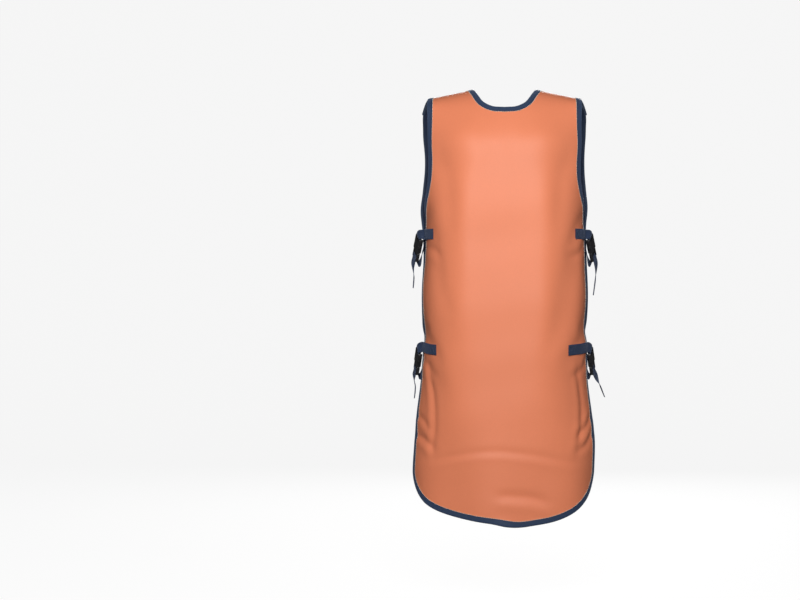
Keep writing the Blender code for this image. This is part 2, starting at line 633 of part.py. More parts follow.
def build_closures(collection, cutters):
    for level in STRAP_LEVELS:
        for side, sign in SIDES.items():
            frame = buckle_frame(level, sign)
            name = f"{level}_{side}_"
            build_front_strap(name + "front_strap", level, side, sign, frame, collection)
            build_female(name + "buckle_female", frame, collection, cutters)
            build_male(name + "buckle_male", frame, collection, cutters)
            build_prong(name + "buckle_prong_a", frame, 1.0, collection)
            build_prong(name + "buckle_prong_b", frame, -1.0, collection)
            build_back_strap(name + "back_strap", level, side, sign, frame, collection)


def main():
    clear_scene()
    parts = bpy.data.collections.new("lead_apron")
    cutters = bpy.data.collections.new("cutters")
    bpy.context.scene.collection.children.link(parts)
    bpy.context.scene.collection.children.link(cutters)
    build_front(parts)
    build_back(parts)
    for side, sign in SIDES.items():
        build_shoulder(side, sign, parts)
    build_closures(parts, cutters)


if __name__ == "__main__":
    main()
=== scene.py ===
"""Looks for a two-sided lead apron: coated covers over lead vinyl, bound edges, shoulder flaps
with hook-and-loop tape, side webbing and side-release buckles.

Metres, +Z up, front towards -Y, wearer's left at +X.  Every cloth piece lies on one surface,
cloth(s, t, level): s runs across from the centre line, t along the cloth from the shoulder
crest (positive down the front, negative down the back), and level stands out from its middle.
"""
import math

import bmesh
import bpy
import numpy as np
from mathutils import Matrix, Vector


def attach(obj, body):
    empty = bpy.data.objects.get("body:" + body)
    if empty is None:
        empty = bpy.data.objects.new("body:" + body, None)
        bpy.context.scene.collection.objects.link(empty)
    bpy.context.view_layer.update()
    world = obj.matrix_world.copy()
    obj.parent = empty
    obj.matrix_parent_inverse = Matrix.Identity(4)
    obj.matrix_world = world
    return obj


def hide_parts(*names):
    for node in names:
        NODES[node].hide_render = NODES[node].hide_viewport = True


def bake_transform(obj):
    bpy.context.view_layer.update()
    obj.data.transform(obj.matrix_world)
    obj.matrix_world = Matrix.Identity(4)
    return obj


bl_info = {
    "name": "Lead apron",
    "version": (1, 0, 0),
    "blender": (4, 5, 0),
    "location": "3D View > Sidebar > Apron",
    "description": "Builds the cloth, tape, webbing and buckles of a lead apron",
    "category": "Object",
}

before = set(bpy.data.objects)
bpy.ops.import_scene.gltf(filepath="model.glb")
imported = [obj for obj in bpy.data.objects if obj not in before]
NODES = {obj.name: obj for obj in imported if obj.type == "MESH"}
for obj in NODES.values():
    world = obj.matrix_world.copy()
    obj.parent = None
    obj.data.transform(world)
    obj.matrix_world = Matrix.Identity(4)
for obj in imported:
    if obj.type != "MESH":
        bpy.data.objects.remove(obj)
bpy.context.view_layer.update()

# ------------------------------------------------------------------ sizes of the cut pieces
CREST_RUN = (0.106, 0.098)
HALF_FRONT, HALF_BACK = 0.250, 0.244
LENGTH_FRONT, LENGTH_BACK = 1.076, 1.066
HEM_FRONT, HEM_BACK = 0.112, 0.102
BACK_INSET = 0.0088
SHOULDER_SLOPE, SHOULDER_ROUND, SHOULDER_FADE, NECK_POINT = 0.215, 0.040, 0.15, 0.079
WRAP_FRONT = [(0.0, 0), (0.05, 10), (0.1, 36), (0.2, 66), (0.32, 83), (0.46, 85), (0.56, 78),
              (0.66, 83), (0.74, 81), (0.83, 69), (1.0, 65), (1.2, 64)]
WRAP_BACK = [(0.0, 0), (0.05, 8), (0.1, 18), (0.15, 27), (0.2, 44), (0.27, 60), (0.35, 66),
             (0.45, 69), (0.55, 66), (0.66, 70), (0.76, 78), (0.9, 80), (1.0, 83), (1.2, 84)]
FLAT_SHARE, WRAP_POWER = 0.12, 1.25
ARMHOLE_FRONT = [(0.181, 0.0), (0.184, 0.10), (0.190, 0.18), (0.193, 0.24), (0.197, 0.275),
                 (0.206, 0.30), (0.222, 0.325), (0.240, 0.350), (0.250, 0.385)]
NECK_FRONT = [(0.079, 0.0), (0.066, 0.050), (0.048, 0.088), (0.028, 0.102), (0.0, 0.106)]
ARMHOLE_BACK = [(0.186, 0.014), (0.198, 0.067), (0.201, 0.12), (0.204, 0.18), (0.211, 0.24),
                (0.224, 0.29), (0.237, 0.33), (0.244, 0.37)]
NECK_BACK = [(0.086, 0.014), (0.101, 0.048), (0.089, 0.080), (0.066, 0.103), (0.035, 0.124),
             (0.0, 0.131)]
FLAP_ARM = [(0.181, 0.0), (0.190, -0.034), (0.198, -0.067)]
FLAP_NECK = [(0.079, 0.0), (0.092, -0.024), (0.101, -0.048)]
SEAM = 0.034                 # the shoulder pieces start this far down the front
FLAP_HINGE_X, FLAP_BENDS = 0.13, (-0.026, 0.010)
FLAP_PAST = 0.0035           # the flaps' tapes run on this far over the rolled end
LIP_STITCH_IN, LIP_STITCH_UP, LIP_STITCH_RADIUS = 0.0122, 0.0007, 0.00052
FRONT_HALF, BACK_HALF = 0.0022, 0.0014
BINDING = 0.012
STRAP_LEVELS = {"upper": 0.342, "lower": 0.614}
SIDES = {"left": 1.0, "right": -1.0}
STRAP_SEWN = {"upper_left": 0.186, "upper_right": 0.186, "lower_left": 0.157, "lower_right": 0.172}
FRONT_FALL, BACK_FALL = 0.059, 0.0546
WEBBING = 0.025
STRAP_LEAVES, BAR_LOOP_RADIUS = 0.244, 0.0036
STRAP_RISE = ([0.186, 0.232, 0.244], [0.0034, 0.0050, 0.0060])  # (s, height off the panel)
BUCKLES = {
    "upper": ((0.2030, -0.0130, -0.3500), (0.2150, 0.0195, -0.4000)),
    "lower": ((0.2040, -0.0160, -0.6220), (0.2130, 0.0180, -0.6720)),
}
TAILS = {
    "upper_left": [(0.003, 0.008, -0.012), (0.001, 0.010, -0.045), (-0.004, 0.010, -0.085)],
    "upper_right": [(0.003, 0.008, -0.012), (0.000, 0.008, -0.040), (0.002, 0.010, -0.068)],
    "lower_left": [(0.005, 0.010, -0.009), (0.014, 0.016, -0.030), (0.026, 0.022, -0.060)],
    "lower_right": [(0.003, 0.009, -0.010), (-0.001, 0.012, -0.034), (0.001, 0.010, -0.062)],
}
# Soft folds: panel sign, line from (s, t) to (s, t), width, depth; negative depth stands out.
FOLDS = [
    (1, -0.203, 0.72, -0.178, 0.905, 0.009, 0.0034), (1, 0.192, 0.73, 0.181, 0.905, 0.009, 0.0030),
    (1, -0.238, 0.878, -0.175, 0.906, 0.009, 0.0032), (1, -0.238, 0.832, -0.19, 0.86, 0.008, 0.0024),
    (1, 0.240, 0.832, 0.182, 0.876, 0.009, 0.0028), (1, 0.240, 0.870, 0.182, 0.912, 0.009, 0.0030),
    (1, -0.160, 0.930, 0.160, 0.935, 0.009, 0.0016), (1, -0.012, 1.010, 0.100, 1.022, 0.012, 0.0032),
    (1, -0.225, 0.43, -0.160, 0.45, 0.010, 0.0022), (1, 0.225, 0.43, 0.165, 0.455, 0.010, 0.0022),
    (1, -0.240, 0.70, -0.175, 0.735, 0.010, 0.0022), (1, 0.240, 0.70, 0.175, 0.735, 0.010, 0.0022),
    (-1, 0.205, 0.585, 0.110, 0.590, 0.008, 0.0022), (-1, -0.02, 0.655, 0.12, 0.662, 0.010, 0.0014),
    (-1, 0.180, 0.915, 0.060, 0.945, 0.014, 0.0042), (-1, 0.070, 0.944, -0.060, 0.948, 0.016, 0.0045),
    (-1, -0.050, 0.948, -0.180, 0.918, 0.014, 0.0040), (-1, 0.190, 0.967, 0.110, 1.034, 0.011, 0.005),
    (-1, -0.148, 0.955, -0.162, 1.052, 0.013, 0.0070), (-1, -0.196, 0.70, -0.186, 0.93, 0.013, 0.004),
    (-1, 0.196, 0.72, 0.186, 0.93, 0.013, 0.0040), (-1, -0.225, 0.42, -0.14, 0.455, 0.014, 0.0032),
    (-1, 0.225, 0.42, 0.140, 0.455, 0.014, 0.0032), (-1, 0.03, 0.49, -0.12, 0.50, 0.012, 0.0012),
]
GAUSS_X, GAUSS_W = np.polynomial.legendre.leggauss(16)
DRAPE = {}
TABLE = {}
TABLE_STEP, TABLE_HALF = 0.004, (70, 282)


# ------------------------------------------------------------------ the cloth's surface
def through(knots, at):
    """Cubic Hermite curve through (x, y) knots, each slope the finite difference there."""
    x, y = np.array(knots, float).T
    slope = np.gradient(y, x)
    at = np.clip(at, x[0], x[-1])
    k = np.clip(np.searchsorted(x, at) - 1, 0, len(x) - 2)
    h = x[k + 1] - x[k]
    u = (at - x[k]) / h
    return ((2 * u**3 - 3 * u**2 + 1) * y[k] + (u**3 - 2 * u**2 + u) * h * slope[k]
            + (3 * u**2 - 2 * u**3) * y[k + 1] + (u**3 - u**2) * h * slope[k + 1])


def smooth(x, low, high):
    """Three u squared less two u cubed, with u from 0 at low to 1 at high."""
    u = np.clip((x - low) / (high - low), 0, 1)
    return u * u * (3 - 2 * u)


def crest_profile(t, turn):
    """Way out and down after t of cloth whose slope is a quarter turn times (1 - e^(-t/turn)),
    by the series of the sine and cosine integrals."""
    quarter = math.pi / 2
    left = quarter * np.exp(-t / turn)

    def sine(x):
        return sum((-1) ** k * x ** (2 * k + 1) / ((2 * k + 1) * math.factorial(2 * k + 1))
                   for k in range(9))

    def cosine(x):
        return sum((-1) ** (k + 1) * x ** (2 * k) / (2 * k * math.factorial(2 * k))
                   for k in range(1, 9))

    return turn * (sine(quarter) - sine(left)), t - turn * (cosine(quarter) - cosine(left))


def wrap(s, angle, half):
    """Way across and inward after s of cloth that has turned by angle at half, by quadrature."""
    nodes = (GAUSS_X + 1) / 2
    share = np.clip(np.multiply.outer(s, nodes) / half[..., None] - FLAT_SHARE, 0, None)
    turned = angle[..., None] * (share / (1 - FLAT_SHARE)) ** WRAP_POWER
    weight = GAUSS_W / 2
    return s * (weight * np.cos(turned)).sum(-1), s * (weight * np.sin(turned)).sum(-1)


def middle(s, t):
    """The cloth's middle surface as it is cut and hung, before folds."""
    a = np.abs(t)
    front = t >= 0
    out_f, down_f = crest_profile(a, CREST_RUN[0])
    out_b, down_b = crest_profile(a, CREST_RUN[1])
    angle = np.radians(np.where(front, through(WRAP_FRONT, a), through(WRAP_BACK, a)))
    x, inset = wrap(np.abs(s), angle, np.where(front, HALF_FRONT, HALF_BACK))
    y = np.where(front, inset - out_f, out_b - inset)
    rise = np.hypot(s, SHOULDER_ROUND) - math.hypot(NECK_POINT, SHOULDER_ROUND)
    drop = SHOULDER_SLOPE * rise * np.exp(-((a / SHOULDER_FADE) ** 2))
    return np.stack([np.sign(s) * x, y, -np.where(front, down_f, down_b) - drop], -1)


def hill(s, t, at_s, at_t, wide, tall):
    """A bell: e to the minus squared distance, measured in widths and heights."""
    return np.exp(-(((s - at_s) / wide) ** 2) - ((t - at_t) / tall) ** 2)


def relief(s, t):
    """How far the hanging cloth stands out: chest, waist and hip swells, a slow wave down the
    free edges and along the hem, and the soft folds."""
    a = np.abs(t)
    front = t >= 0
    chest = 0.0090 * (hill(s, a, 0.095, 0.170, 0.052, 0.056) + hill(s, a, -0.095, 0.170, 0.052, 0.056))
    chest += 0.0050 * hill(s, a, 0.0, 0.170, 0.075, 0.055)
    chest -= 0.0048 * (hill(s, a, 0.150, 0.243, 0.034, 0.032) + hill(s, a, -0.150, 0.243, 0.034, 0.032))
    chest -= 0.0016 * (hill(s, a, 0.050, 0.140, 0.012, 0.035) + hill(s, a, -0.055, 0.140, 0.012, 0.035))
    ridge = np.exp(-(((np.abs(s) - 0.092) / 0.032) ** 2))
    chest += 0.0042 * ridge * (smooth(a, 0.22, 0.33) - smooth(a, 0.55, 0.72))
    chest -= 0.0040 * hill(s, a, 0.0, 0.43, 0.12, 0.07)
    back = 0.0045 * (hill(s, a, 0.095, 0.19, 0.055, 0.07) + hill(s, a, -0.095, 0.19, 0.055, 0.07))
    back -= 0.0050 * hill(s, a, 0.0, 0.42, 0.10, 0.09)
    out = np.where(front, chest, back)
    edge = (np.abs(s) / 0.25) ** 4
    out = out + 0.0022 * edge * np.sin(2 * math.pi * a / 0.23 + np.sign(s) * 0.7 + front)
    hem = smooth(a, 0.80, 1.05)
    out = out + 0.0040 * hem * np.sin(2 * math.pi * s / 0.19 + 0.9 + 1.3 * front)
    out = out + 0.0007 * np.sin(19 * s + 23 * a) * np.cos(31 * a - 11 * s + 2)
    for panel, s0, t0, s1, t1, width, depth in FOLDS:
        along = np.array([s1 - s0, t1 - t0])
        length = np.hypot(*along)
        along = along / length
        u = ((s - s0) * along[0] + (a - t0) * along[1]) / length
        v = (s - s0) * -along[1] + (a - t0) * along[0]
        v = v + 0.08 * length * np.sin(math.pi * np.clip(u, 0, 1))
        fade = np.exp(-((np.clip(np.abs(u - 0.5) - 0.30, 0, None) / 0.24) ** 2))
        shape = np.exp(-((v / width) ** 2)) - 0.45 * np.exp(-(((v - 1.9 * width) / width) ** 2))
        out = out - np.where(front == (panel > 0), depth * fade * shape, 0.0)
    return out * smooth(a, 0.085, 0.20)


def spline_weights(x):
    """Cubic B-spline weights of the four grid lines round x, and the first line's number."""
    base = np.floor(x).astype(int)
    u = x - base
    w = np.stack([(1 - u) ** 3, 3 * u**3 - 6 * u**2 + 4, -3 * u**3 + 3 * u**2 + 3 * u + 1, u**3])
    return base - 1, w / 6


def draped(s, t):
    """The simulated drape's movement at (s, t), from its grid by a cubic B-spline."""
    move = np.zeros(np.broadcast(s, t).shape + (3,))
    for sign, (grid, step, half) in DRAPE.items():
        rows, columns = grid.shape[:2]
        i, wi = spline_weights(sign * t / step)
        j, wj = spline_weights((s + half) / step)
        total = np.zeros_like(move)
        for a in range(4):
            for b in range(4):
                at = grid[np.clip(i + a, 0, rows - 1), np.clip(j + b, 0, columns - 1)]
                total += (wi[a] * wj[b])[..., None] * at
        move += np.where((sign * t >= 0)[..., None], total, 0.0)
    return move


def hung(s, t):
    """The middle surface with its relief and its simulated drape."""
    step = 1e-3
    across = middle(s + step, t) - middle(s - step, t)
    along = middle(s, t + step) - middle(s, t - step)
    normal = -np.cross(across, along)
    normal /= np.linalg.norm(normal, axis=-1, keepdims=True)
    low = smooth(t, 0.82, 1.06) * (0.0055 * np.sin(math.pi * np.clip(s / 0.2, -1, 1))
                                   + 0.004 * np.exp(-(((s - 0.03) / 0.03) ** 2)))
    fall = low[..., None] * np.array([0.0, 0.0, -1.0])
    return middle(s, t) + normal * relief(s, t)[..., None] + draped(s, t) + fall


def tabulate():
    """The hung surface on a square grid, once, for quick reading by surface()."""
    s = np.arange(-TABLE_HALF[0], TABLE_HALF[0] + 1) * TABLE_STEP
    t = np.arange(-TABLE_HALF[1], TABLE_HALF[1] + 1) * TABLE_STEP
    TABLE["hung"] = hung(*np.meshgrid(s, t))


def surface(s, t):
    """The hung surface at (s, t), by a cubic B-spline over its table."""
    if not TABLE:
        tabulate()
    i, wi = spline_weights(t / TABLE_STEP + TABLE_HALF[1])
    j, wj = spline_weights(s / TABLE_STEP + TABLE_HALF[0])
    total = np.zeros(s.shape + (3,))
    for a in range(4):
        for b in range(4):
            total += (wi[a] * wj[b])[..., None] * TABLE["hung"][i + a, j + b]
    return total


def cloth(s, t, level=0.0):
    """Point at (s, t), moved out by level along the hung surface's own normal."""
    s, t, level = np.broadcast_arrays(np.asarray(s, float), np.asarray(t, float), level)
    return surface(s, t) + cloth_normal(s, t) * level[..., None]


def cloth_normal(s, t):
    step = 1e-3
    across = surface(s + step, t) - surface(s - step, t)
    along = surface(s, t + step) - surface(s, t - step)
    normal = -np.cross(across, along)
    return normal / np.linalg.norm(normal, axis=-1, keepdims=True)


# ------------------------------------------------------------------ outlines in (s, t)
def lengths(points):
    return np.concatenate([[0], np.cumsum(np.linalg.norm(np.diff(points, axis=0), axis=1))])


def even(points, count):
    """count points at even steps along a run of points."""
    run = lengths(points)
    at = np.linspace(0, run[-1], count)
    return np.stack([np.interp(at, run, points[:, k]) for k in range(points.shape[1])], 1)


def curve(knots, spacing=0.002):
    """Smooth curve through knots of any dimension, at even steps of about spacing."""
    pts = np.array(knots, float)
    run = lengths(pts)
    at = np.linspace(0, run[-1], max(3, int(run[-1] / spacing)))
    return np.stack([through(np.stack([run, pts[:, k]], 1), at) for k in range(pts.shape[1])], 1)


def hem_run(half, start, height, turn):
    """(s/half)^2.6 + ((t - start)/height)^(5/3) = 1, by the angle turn."""
    return np.stack([half * np.cos(turn) ** (2 / 2.6), start + height * np.sin(turn) ** 1.2], 1)


def flipped(points):
    return points[::-1] * np.array([-1.0, 1.0])


def joined(*runs):
    points = np.concatenate(runs)
    keep = np.concatenate([[True], np.linalg.norm(np.diff(points, axis=0), axis=1) > 1e-7])
    return points[keep]


def both_sides(run):
    """A left-hand run and its mirror image, as one run across the centre line."""
    return joined(run, flipped(run))


def side_run(armhole, half, length, hem):
    """Left edge from the armhole's first knot to the hem's centre, all as positive t."""
    start = length - hem
    straight = np.stack([np.full(160, half), np.linspace(armhole[-1][1], start, 160)], 1)
    return joined(curve(armhole), straight, hem_run(half, start, hem, np.linspace(0, math.pi / 2, 160)))


def inward(points, turn):
    """Unit vectors towards the cloth: the run's direction turned a quarter by turn's sign."""
    d = np.gradient(points, axis=0)
    d = d / np.linalg.norm(d, axis=1, keepdims=True)
    return np.stack([-d[:, 1], d[:, 0]], 1) * turn


def coons(top, bottom, left, right):
    """Surface between four edge runs: both rulings added, less the bilinear one of the corners."""
    rows, columns = len(left), len(top)
    v, u = np.meshgrid(np.linspace(0, 1, rows), np.linspace(0, 1, columns), indexing="ij")
    u, v = u[..., None], v[..., None]
    ruled = (1 - v) * top[None] + v * bottom[None] + (1 - u) * left[:, None] + u * right[:, None]
    corners = ((1 - u) * (1 - v) * top[0] + u * (1 - v) * top[-1]
               + (1 - u) * v * bottom[0] + u * v * bottom[-1])
    return ruled - corners


def panel_grid(side, neckline, top_left, rows, columns):
    """Grid of a whole panel from its left edge run, its neckline and its shoulder's start."""
    turn = int(np.argmax(side[:, 1] + side[:, 0] > (side[:, 1] + side[:, 0]).max() - 1e-9))
    left, half_hem = side[:turn + 1], side[turn:]
    left = even(left, rows)
    bottom = even(both_sides(half_hem), columns)
    left_half = joined(np.stack([top_left, neckline[0]]), neckline)
    top = even(both_sides(left_half), columns)
    return coons(top, bottom, left, left * np.array([-1.0, 1.0]))


def past(run):
    """A run with one more point, straight on from its end."""
    ahead = run[-1] - run[-2]
    return np.concatenate([run, run[-1:] + FLAP_PAST * ahead / np.hypot(*ahead)])


def crossing(run, t):
    """First index at which a run's t reaches t."""
    return int(np.argmax(run[:, 1] >= t - 1e-9))


FRONT_SIDE = side_run(ARMHOLE_FRONT, HALF_FRONT, LENGTH_FRONT, HEM_FRONT)
BACK_SIDE = side_run(ARMHOLE_BACK, HALF_BACK, LENGTH_BACK, HEM_BACK)
FRONT_EDGE = both_sides(joined(past(curve(FLAP_ARM))[::-1], FRONT_SIDE))
FRONT_NECK = both_sides(joined(past(curve(FLAP_NECK))[::-1], curve(NECK_FRONT)))
BACK_EDGE = both_sides(BACK_SIDE)
BACK_NECK = both_sides(curve(NECK_BACK))
NECK_LEFT = joined(curve(FLAP_NECK)[::-1], curve(NECK_FRONT))


# ------------------------------------------------------------------ meshes
def make_mesh(name, verts, faces, uv=None, values=None, mat=None, sharp=35.0):
    """A mesh object from arrays; uv and values are per point, in metres and 0 to 1."""
    mesh = bpy.data.meshes.new(name)
    mesh.from_pydata(np.asarray(verts, float).tolist(), [], [list(map(int, f)) for f in faces])
    mesh.validate()
    if uv is not None:
        corner = np.zeros(len(mesh.loops), np.int32)
        mesh.loops.foreach_get("vertex_index", corner)
        layer = mesh.uv_layers.new(name="cut")
        layer.data.foreach_set("uv", np.asarray(uv, np.float32)[corner].ravel())
    for key, value in (values or {}).items():
        attribute = mesh.attributes.new(key, "FLOAT", "POINT")
        attribute.data.foreach_set("value", np.asarray(value, np.float32))
    mesh.shade_smooth()
    mesh.set_sharp_from_angle(angle=math.radians(sharp))
    obj = bpy.data.objects.new(name, mesh)
    bpy.context.scene.collection.objects.link(obj)
    if mat:
        mesh.materials.append(mat)
    return obj


def quads(rows, columns, wrapped=False):
    """Faces of a grid of points numbered row by row; wrapped joins the last column to the first."""
    i = np.arange(rows * columns).reshape(rows, columns)
    if wrapped:
        i = np.concatenate([i, i[:, :1]], 1)
    return np.stack([i[:-1, :-1], i[:-1, 1:], i[1:, 1:], i[1:, :-1]], -1).reshape(-1, 4)


def walled(name, top, under, cut, mat):
    """A closed sheet from two grids of 3-D points."""
    rows, columns = top.shape[:2]
    count = rows * columns
    face = quads(rows, columns)
    i = np.arange(count).reshape(rows, columns)
    rim = np.concatenate([i[0, :-1], i[:-1, -1], i[-1, :0:-1], i[:0:-1, 0]])
    after = np.roll(rim, -1)
    walls = np.stack([after, rim, rim + count, after + count], 1)
    faces = np.concatenate([face, face[:, ::-1] + count, walls])
    a, b, c = (top.reshape(-1, 3)[face[0, k]] for k in range(3))
    if np.dot(np.cross(b - a, c - b), top[0, 0] - under[0, 0]) < 0:
        faces = faces[:, ::-1]
    points = np.concatenate([top.reshape(-1, 3), under.reshape(-1, 3)])
    return make_mesh(name, points, faces, np.tile(cut.reshape(-1, 2), (2, 1)), None, mat)


def shell(name, grid, outer, inner, mat):
    """A closed sheet: the (s, t) grid at two levels, joined round its rim."""
    s, t = grid[..., 0], grid[..., 1]
    return walled(name, cloth(s, t, outer), cloth(s, t, inner), grid, mat)


def outward(obj):
    """Turns every face of a closed mesh outwards."""
    bm = bmesh.new()
    bm.from_mesh(obj.data)
    bmesh.ops.recalc_face_normals(bm, faces=bm.faces)
    bm.to_mesh(obj.data)
    bm.free()
    return obj


def tube(name, rings, uv, values, mat, sharp=50.0):
    """A closed body from rings of points (rings x points x 3), capped at both ends."""
    m, n = rings.shape[:2]
    faces = list(quads(m, n, True))
    faces += [np.arange(n)[::-1], np.arange(n) + (m - 1) * n]
    obj = make_mesh(name, rings.reshape(-1, 3), faces, uv.reshape(-1, 2), values, mat, sharp)
    return outward(obj)


def binding_section(half):
    """Folded tape's closed section as (way in from the edge, height, rub): the outer skin goes
    from the stitched lip round a round fold to the other lip, the inner skin comes back."""
    turn = np.linspace(math.pi / 2, -math.pi / 2, 9)
    fold = np.stack([-0.0020 * np.cos(turn), (half + 0.0017) * np.sin(turn)], 1)
    flank = np.array([(0.0122, half + 0.0003), (0.0121, half + 0.0009), (0.0112, half + 0.0013),
                      (0.0085, half + 0.0015), (0.0058, half + 0.0017), (0.0030, half + 0.0018),
                      (0.0012, half + 0.0018)])
    outer = np.concatenate([flank, fold[1:-1], flank[::-1] * np.array([1, -1])])
    inner_fold = np.stack([-0.0010 * np.cos(turn), (half + 0.0008) * np.sin(turn)], 1)
    lip = np.array([(0.0110, half + 0.0003), (0.0060, half + 0.0006)])
    inner = np.concatenate([lip, inner_fold[1:-1], lip[::-1] * np.array([1, -1])])
    section = np.concatenate([outer, inner[::-1]])
    rub = np.concatenate([smooth(-outer[:, 0], -0.0015, 0.0016), np.zeros(len(inner))])
    return section, rub


def binding(name, edge, turn, half, level, mat, back=False, spacing=0.005, towards=None):
    """Tape carried along an edge run; its UV is along the section and along the run."""
    if towards is None:
        towards = inward(edge, turn)
    run = lengths(edge)
    count = max(4, int(run[-1] / spacing))
    both = even(np.concatenate([edge, towards, run[:, None]], 1), count)
    section, rub = binding_section(half)
    s = both[:, 0:1] + both[:, 2:3] * section[None, :, 0]
    t = both[:, 1:2] + both[:, 3:4] * section[None, :, 0]
    rings = cloth(s, -t if back else t, level + section[None, :, 1])
    around = lengths(section)
    uv = np.stack(np.broadcast_arrays(around[None, :], both[:, 4:5]), -1)
    return tube(name, rings, uv, {"rub": np.tile(rub, count)}, mat)


def stitch_row(name, line, normal, mat, length=0.0030, pitch=0.0040, radius=0.00034):
    """Thread stitches along a 3-D line: each a six-sided rod that dips into the cloth."""
    run = lengths(line)
    count = max(1, int(run[-1] / pitch))
    begin = (np.arange(count) + 0.5) * (run[-1] / count) - length / 2
    share = np.array([0.0, 0.12, 0.5, 0.88, 1.0])
    at = begin[:, None] + share * length
    point = np.stack([np.interp(at, run, line[:, k]) for k in range(3)], -1)
    up = np.stack([np.interp(at, run, normal[:, k]) for k in range(3)], -1)
    up /= np.linalg.norm(up, axis=-1, keepdims=True)
    ahead = point[:, -1:] - point[:, :1]
    ahead = ahead / np.linalg.norm(ahead, axis=-1, keepdims=True)
    side = np.cross(up, ahead)
    lift = radius * np.array([-1.3, 0.1, 0.45, 0.1, -1.3])
    size = radius * np.array([0.7, 1.0, 1.0, 1.0, 0.7])
    angle = np.arange(6) * math.pi / 3
    ring = (point[:, :, None] + up[:, :, None] * lift[None, :, None, None]
            + side[:, :, None] * (size[None, :, None] * np.cos(angle))[..., None]
            + up[:, :, None] * (size[None, :, None] * np.sin(angle))[..., None])
    one = quads(5, 6, True)
    caps = np.array([[0, 1, 2, 3, 4, 5][::-1], [24, 25, 26, 27, 28, 29]])
    offset = np.arange(count) * 30
    faces = list((one[None] + offset[:, None, None]).reshape(-1, 4))
    faces += list((caps[None] + offset[:, None, None]).reshape(-1, 6))
    obj = make_mesh(name, ring.reshape(-1, 3), faces, None, None, mat, 60.0)
    return outward(obj)


def ribbon(name, path, width_dirs, mat, width=WEBBING, thick=0.0013, spacing=0.0022):
    """Webbing along a smooth path: a flat section with rounded selvedges; UV across and along."""
    knots = np.concatenate([np.array(path), np.array(width_dirs)], 1)
    run = lengths(knots[:, :3])
    at = np.linspace(0, run[-1], int(run[-1] / 0.001))
    both = np.stack([through(np.stack([run, knots[:, k]], 1), at) for k in range(6)], 1)
    run = lengths(both[:, :3])
    both = even(np.concatenate([both, run[:, None]], 1), max(8, int(run[-1] / spacing)))
    centre, across = both[:, :3], both[:, 3:6]
    across = across / np.linalg.norm(across, axis=1, keepdims=True)
    ahead = np.gradient(centre, axis=0)
    normal = np.cross(across, ahead)
    normal /= np.linalg.norm(normal, axis=1, keepdims=True)
    w, h = width / 2, thick / 2
    x = np.array([-w, -w + 0.0004, -w + 0.0016, -w * 0.55, -w * 0.2, w * 0.2, w * 0.55, w - 0.0016,
                  w - 0.0004, w])
    y = h * np.array([0.35, 1.05, 1.12, 0.95, 0.95, 0.95, 0.95, 1.12, 1.05, 0.35])
    px, py = np.concatenate([x, x[::-1]]), np.concatenate([y, -y[::-1]])
    rings = (centre[:, None] + across[:, None] * px[None, :, None]
             + normal[:, None] * py[None, :, None])
    uv = np.stack(np.broadcast_arrays(px[None, :] + w, both[:, 6:7]), -1)
    return tube(name, rings, uv, None, mat)


# ------------------------------------------------------------------ node groups and materials
class Graph:
    """Short way to add nodes and links to a node tree."""

    def __init__(self, tree):
        self.tree = tree

    def add(self, kind, sockets=None, **settings):
        node = self.tree.nodes.new(kind)
        for key, value in settings.items():
            setattr(node, key, value)
        for key, value in (sockets or {}).items():
            if isinstance(value, bpy.types.NodeSocket):
                self.tree.links.new(value, node.inputs[key])
            else:
                node.inputs[key].default_value = value
        return node

    def math(self, operation, a, b=0.0, c=0.0):
        return self.add("ShaderNodeMath", {0: a, 1: b, 2: c}, operation=operation).outputs[0]

    def link(self, a, b):
        self.tree.links.new(a, b)


def shared_group(name, inputs, outputs, build):
    """A node group made once: inputs are (name, kind, default), outputs (name, kind)."""
    if name in bpy.data.node_groups:
        return bpy.data.node_groups[name]
    group = bpy.data.node_groups.new(name, "ShaderNodeTree")
    for label, kind, default in inputs:
        socket = group.interface.new_socket(label, in_out="INPUT", socket_type=kind)
        if default is not None:
            socket.default_value = default
    for label, kind in outputs:
        group.interface.new_socket(label, in_out="OUTPUT", socket_type=kind)
    graph = Graph(group)
    entry, leave = group.nodes.new("NodeGroupInput"), group.nodes.new("NodeGroupOutput")
    build(graph, entry.outputs, leave.inputs)
    return group


VECTOR, VALUE, COLOUR = "NodeSocketVector", "NodeSocketFloat", "NodeSocketColor"


def build_woven(graph, given, out):
    """Plain weave: rounded warp and weft threads, one over the other in turn."""
    part = graph.add("ShaderNodeSeparateXYZ", {0: given["Vector"]})
    u = graph.math("DIVIDE", part.outputs[0], given["Warp pitch"])
    v = graph.math("DIVIDE", part.outputs[1], given["Weft pitch"])
    over = graph.math("PINGPONG", graph.math("ADD", graph.math("FLOOR", u), graph.math("FLOOR", v)), 1.0)
    round_u = graph.math("ABSOLUTE", graph.math("SINE", graph.math("MULTIPLY", u, math.pi)))
    round_v = graph.math("ABSOLUTE", graph.math("SINE", graph.math("MULTIPLY", v, math.pi)))
    mix = graph.add("ShaderNodeMix", {0: over, 2: round_u, 3: round_v})
    graph.link(mix.outputs[0], out["Height"])
    graph.link(over, out["Over"])


def woven_threads():
    return shared_group("woven_threads", [("Vector", VECTOR, None), ("Warp pitch", VALUE, 0.0006),
                                          ("Weft pitch", VALUE, 0.0006)],
                        [("Height", VALUE), ("Over", VALUE)], build_woven)


